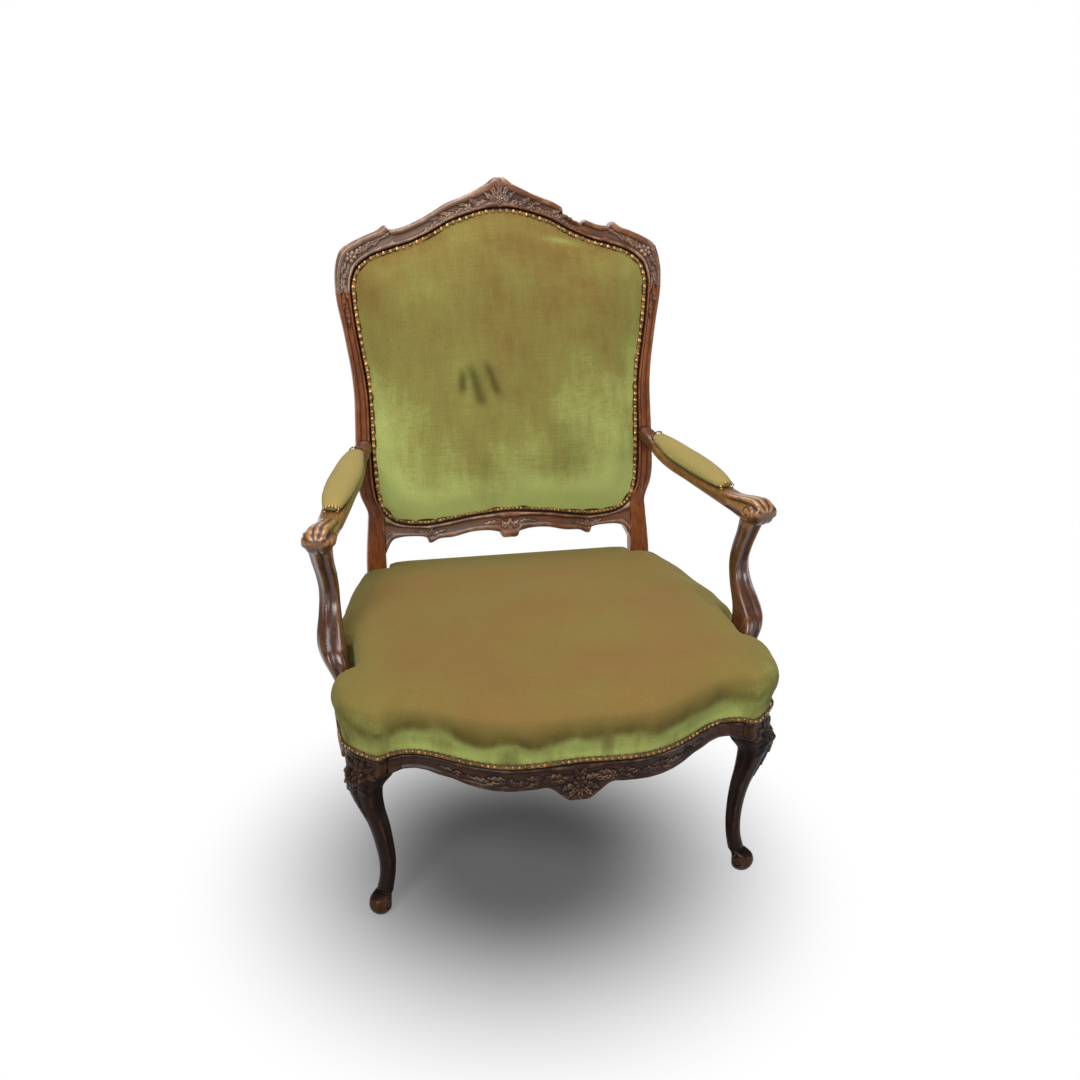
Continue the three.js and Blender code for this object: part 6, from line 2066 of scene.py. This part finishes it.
@dataclass
class Trimming:
    """Gimp and nails round the seat, the back and the arm pads.

    Args:
        finishes: Every finish.
        width: Width of the gimp.
        thickness: Thickness of the gimp.
        step: Spacing of the gimp's points along its length.
    """

    finishes: Finishes
    width: float = 9.0
    thickness: float = 1.5
    step: float = 0.9

    def gimp(self, name: str, path: Array, out: Array, up: Array, closed: bool, node: str, scallop: bool,
             width: float, pitch: float) -> Piece:
        """A band of gimp along a path with a scalloped edge and twisted cords.

        Args:
            name: Name of the piece.
            path: Middle of the band's underside.
            out: Direction away from what it lies on.
            up: Direction across the band, to its scalloped edge.
            closed: True where the path closes.
            node: The CAD node it stands for.
            scallop: True for a scalloped upper edge.
            width: Its width.
            pitch: Spacing of the scallops and cords.

        Returns:
            The band.
        """
        step = np.linalg.norm(np.diff(path, axis=0), axis=1)
        length = np.concatenate([[0], np.cumsum(step)])
        count = int(length[-1] / self.step)
        at = np.linspace(0, length[-1], count, endpoint=not closed)
        path, out, up = (np.stack([np.interp(at, length, v[:, k]) for k in range(3)], axis=1)
                         for v in (path, out, up))
        out, up = unit(out), unit(up)
        phase = 2 * math.pi * at / pitch
        half = np.full(count, width / 2)
        upper = half * (0.86 + 0.14 * np.cos(phase)) if scallop else half
        profile = [(-1, 0.1), (-1, 0.7), (-0.72, 1.0), (-0.4, 0.55), (-0.05, 0.75), (0.3, 0.55),
                   (0.66, 1.0), (1, 0.7), (1, 0.1)]
        columns = []
        for across, height in profile:
            reach = across * (upper if across > 0 else half)
            twist = 1 + 0.25 * np.sin(phase + across * 5) * (height > 0.2)
            columns.append(path + up * reach[:, None] + out * (height * twist * self.thickness)[:, None])
        grid = np.stack(columns, axis=1)
        # The seat's scalloped gimp takes the darker copy, painted shade.
        finish = self.finishes.shaded_gimp if scallop else self.finishes.gimp
        obj = loft(name, grid, finish, Crease.RING if closed else Crease.CAPPED)
        return settle(obj, "braid", node)

    @staticmethod
    def seat_line() -> tuple[Array, Array]:
        """Plan of the seat's nail line and its outward directions, from rear right to rear left."""
        half = spaced(np.vstack([FRONT_PLAN, CORNER_PLAN[1:], SIDE_PLAN[1:-1], [[284, 497]]]), 260)
        run = np.gradient(half, axis=0)
        normal = unit(np.stack([run[:, 1], -run[:, 0]], axis=1))
        normal[0] = [0, -1]
        line = np.vstack([(half[1:] * [-1, 1])[::-1], half])
        return line, np.vstack([(normal[1:] * [-1, 1])[::-1], normal])

    def seat(self) -> None:
        """Gimp and nails of the seat."""
        line, normal = self.seat_line()
        out = np.column_stack([normal, np.zeros(len(normal))])
        up = np.tile([0.0, 0, 1], (len(line), 1))
        path = np.column_stack([line + normal * 3.1, np.full(len(line), NAIL_LINE)])
        self.gimp("seat_gimp", path, out, up, False, "seat_braid", True, self.width, 9.4)
        nails = path + out * (self.thickness + 0.5) + up * -0.6
        # The seat's nails take the darker brass, painted shade.
        row = NailRow("seat_nails", 9.4, 3.1).build(nails, out, self.finishes.shaded_brass)
        settle(row, "braid")

    def back(self, pad: BackPad) -> None:
        """Gimp and nails round both faces of the back."""
        edge = pad.outline(300)
        inner = pad.inset(edge, 1.0)
        up = Plan.on_back(inner[:, 0], inner[:, 1], 0 * inner[:, 0])
        up = up - Plan.on_back(edge[:, 0], edge[:, 1], 0 * edge[:, 0])
        out = np.tile(Plan.on_back(0, 0, 1) - Plan.on_back(0, 0, 0), (len(edge), 1))
        front = Plan.on_back(edge[:, 0], edge[:, 1], np.full(len(edge), -4.9))
        self.gimp("back_gimp_front", front, out, up, True, "back_braid_front", False, 5.4, 5.0)
        rear = Plan.on_back(edge[:, 0], edge[:, 1], np.full(len(edge), -33.4))
        self.gimp("back_gimp_rear", rear, -out, up, True, "back_braid_rear", False, 5.4, 5.0)
        rear_row = NailRow("rear_back_nails", 13.0, 4.2, True)
        settle(rear_row.build(rear - out * 2.0, -out, self.finishes.brass), "braid")
        # Wide spacing up the sides and over the crest, close along the bottom
        nails = front + out * 2.2
        low = edge[:, 1] < 168
        first = int(np.argmax(~low))
        last = len(low) - int(np.argmax(~low[::-1]))
        upper = slice(first, last)
        wide = NailRow("back_nails_upper", 12.6, 3.9)
        settle(wide.build(nails[upper], out[upper], self.finishes.brass), "braid")
        bottom = np.vstack([nails[last:], nails[:first]])
        close = NailRow("back_nails_lower", 7.4, 3.3)
        settle(close.build(bottom, np.vstack([out[last:], out[:first]]), self.finishes.shaded_brass), "braid")

    def pads(self, pads: ArmPads) -> None:
        """Nails round the front and rear ends of each arm pad."""
        grid = pads.grid()
        for end, ring in (("front", -1), ("rear", 0)):
            path = grid[ring] + [0, -1.2 if ring else 1.2, 0.4]
            out = unit(path - grid[ring].mean(axis=0) + [0, -10 if ring else 10, 6])
            row = NailRow(f"pad_nails_{end}_left", 6.2, 2.7).build(path, out, self.finishes.brass)
            twin = mirrored(row, f"pad_nails_{end}_right")
            settle(row, "braid")
            settle(twin, "braid")

    def build(self, back: BackPad, pads: ArmPads) -> None:
        """Builds all the trimming."""
        self.seat()
        self.back(back)
        self.pads(pads)


@dataclass
class InnerWork:
    """CAD nodes that keep their shape and only get their finish.

    Args:
        finishes: Every finish.
    """

    finishes: Finishes

    def build(self) -> None:
        """Dresses every node that isn't replaced."""
        for name, node in sorted(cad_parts.items()):
            if "web" in name:
                finish = self.finishes.jute
            elif "spring" in name:
                finish = self.finishes.steel
            elif "hessian" in name:
                finish = self.finishes.hessian
            elif "stuffing" in name:
                finish = self.finishes.hair
            elif "brace" in name or name == "rear_seat_rail":
                finish = self.finishes.inner_wood
            else:
                continue
            for slot in node.material_slots:
                slot.material = finish
            if not node.material_slots:
                node.data.materials.append(finish)


@dataclass
class Studio:
    """Floor, soft lamps and the photograph's camera.

    Args:
        shadow_floor_grey: Grey of the floor, seen by the camera only round the chair, as a painted shadow.
    """

    shadow_floor_grey: str = "6E6E6E"

    def floor(self) -> None:
        """A grey floor with a painted shadow round the chair, fading to white surroundings."""
        brush = Brush.start("pale_floor")
        tree = brush.tree
        # The floor's grey is the colour of the painted shadow.
        tone = brush.ramp(brush.noise(3.0), (0.3, self.shadow_floor_grey), (0.7, "747474"))
        material = brush.finish({"Base Color": tone}, {"Roughness": 0.9, "Specular IOR Level": 0.1})
        # Painted shadow: to the camera the grey shows fully within 0.1 m of a point near the chair, and fades
        # to glowing white by 0.58 m.
        from_shadow_middle = add_node(tree, "ShaderNodeVectorMath", {"operation": "ADD", "in:1": (0.06, 0.2, 0.0)},
                          {0: brush.place})
        far = add_node(tree, "ShaderNodeVectorMath", {"operation": "LENGTH"}, {0: from_shadow_middle.outputs[0]})
        edge = add_node(tree, "ShaderNodeMapRange", {"interpolation_type": "SMOOTHSTEP", "in:1": 0.1,
                                                     "in:2": 0.58},
                        {0: far.outputs["Value"]})
        ray = add_node(tree, "ShaderNodeLightPath").outputs
        seen = brush.math("MAXIMUM", ray["Is Camera Ray"], ray["Is Glossy Ray"])
        beyond_painted_shadow = brush.math("MULTIPLY", edge.outputs[0], seen)
        white = add_node(tree, "ShaderNodeEmission", {"in:Strength": 1.0})
        both = add_node(tree, "ShaderNodeMixShader", {},
                        {0: beyond_painted_shadow, 1: brush.shader.outputs[0], 2: white.outputs[0]})
        result = next(node for node in tree.nodes if node.type == "OUTPUT_MATERIAL")
        tree.links.new(both.outputs[0], result.inputs["Surface"])
        half = 40.0
        corners = np.array([[-half, -half, 0], [half, -half, 0], [half, half, 0],
                            [-half, half, 0]]) - [0, 0, 0.0005]
        obj = make_mesh("floor", corners, [[0, 1, 2, 3]], material, smooth=False)

    def world(self) -> None:
        """Plain light from all round, white to the camera."""
        world = bpy.data.worlds.new("studio")
        bpy.context.scene.world = world
        world.use_nodes = True
        tree = world.node_tree
        tree.nodes.clear()
        soft = add_node(tree, "ShaderNodeBackground", {"in:Color": srgb("F4F6F8"), "in:Strength": 0.27})
        white = add_node(tree, "ShaderNodeBackground", {"in:Color": (1, 1, 1, 1), "in:Strength": 1.0})
        ray = add_node(tree, "ShaderNodeLightPath")
        seen = add_node(tree, "ShaderNodeMath", {"operation": "MAXIMUM"},
                        {0: ray.outputs["Is Camera Ray"], 1: ray.outputs["Is Transmission Ray"]})
        both = add_node(tree, "ShaderNodeMixShader", {},
                        {0: seen.outputs[0], 1: soft.outputs[0], 2: white.outputs[0]})
        result = add_node(tree, "ShaderNodeOutputWorld", {}, {"Surface": both.outputs[0]})
        result.is_active_output = True

    def lamp(self, name: str, place: tuple[float, float, float], size: float, power: float,
             aim: tuple[float, float, float] = (0.0, 0.0, 0.5)) -> None:
        """A square soft lamp that looks at the chair."""
        light = bpy.data.lights.new(name, "AREA")
        light.size = size
        light.energy = power
        obj = bpy.data.objects.new(name, light)
        obj.location = place
        obj.rotation_euler = (Vector(aim) - Vector(place)).to_track_quat("-Z", "Y").to_euler()
        bpy.context.scene.collection.objects.link(obj)

    def camera(self) -> None:
        """The camera, as fitted to the photograph."""
        data = bpy.data.cameras.new("camera")
        data.sensor_fit = "HORIZONTAL"
        data.sensor_width = 36.0
        data.lens = 36.0 * FOCAL_LENGTH / PHOTO_WIDTH
        obj = bpy.data.objects.new("camera", data)
        right = Vector(CAMERA_RIGHT).normalized()
        forward = Vector(CAMERA_FORWARD)
        forward = (forward - right * forward.dot(right)).normalized()
        up = right.cross(forward)
        turn = Matrix((right, up, -forward)).transposed()
        obj.matrix_world = Matrix.Translation(CAMERA_PLACE + Vector((0, PLAN.shift, 0))) @ turn.to_4x4()
        bpy.context.scene.collection.objects.link(obj)
        bpy.context.scene.camera = obj

    def build(self) -> None:
        """Builds the studio."""
        self.camera()
        self.floor()
        self.world()
        self.lamp("overhead", (-0.1, 0.2, 2.6), 1.4, 34)
        self.lamp("window", (-1.4, -2.5, 2.5), 1.7, 92)
        self.lamp("fill", (2.3, -1.9, 1.5), 1.6, 26)
        self.lamp("rim", (0.4, 2.4, 1.8), 1.6, 12)
        scene = bpy.context.scene
        scene.view_settings.view_transform = "Standard"


def main() -> None:
    """Builds the chair and its studio."""
    logging.basicConfig(level=logging.INFO, format="%(name)s: %(message)s")
    finishes = Finishes()
    Studio().build()
    BackFrame(finishes).build()
    SeatFrame(finishes).build()
    arms = Arms(finishes)
    arms.build()
    SeatPad(finishes).build()
    back = BackPad(finishes)
    back.build()
    pads = ArmPads(finishes, arms)
    pads.build()
    Trimming(finishes).build(back, pads)
    InnerWork(finishes).build()


if __name__ == "__main__":
    main()
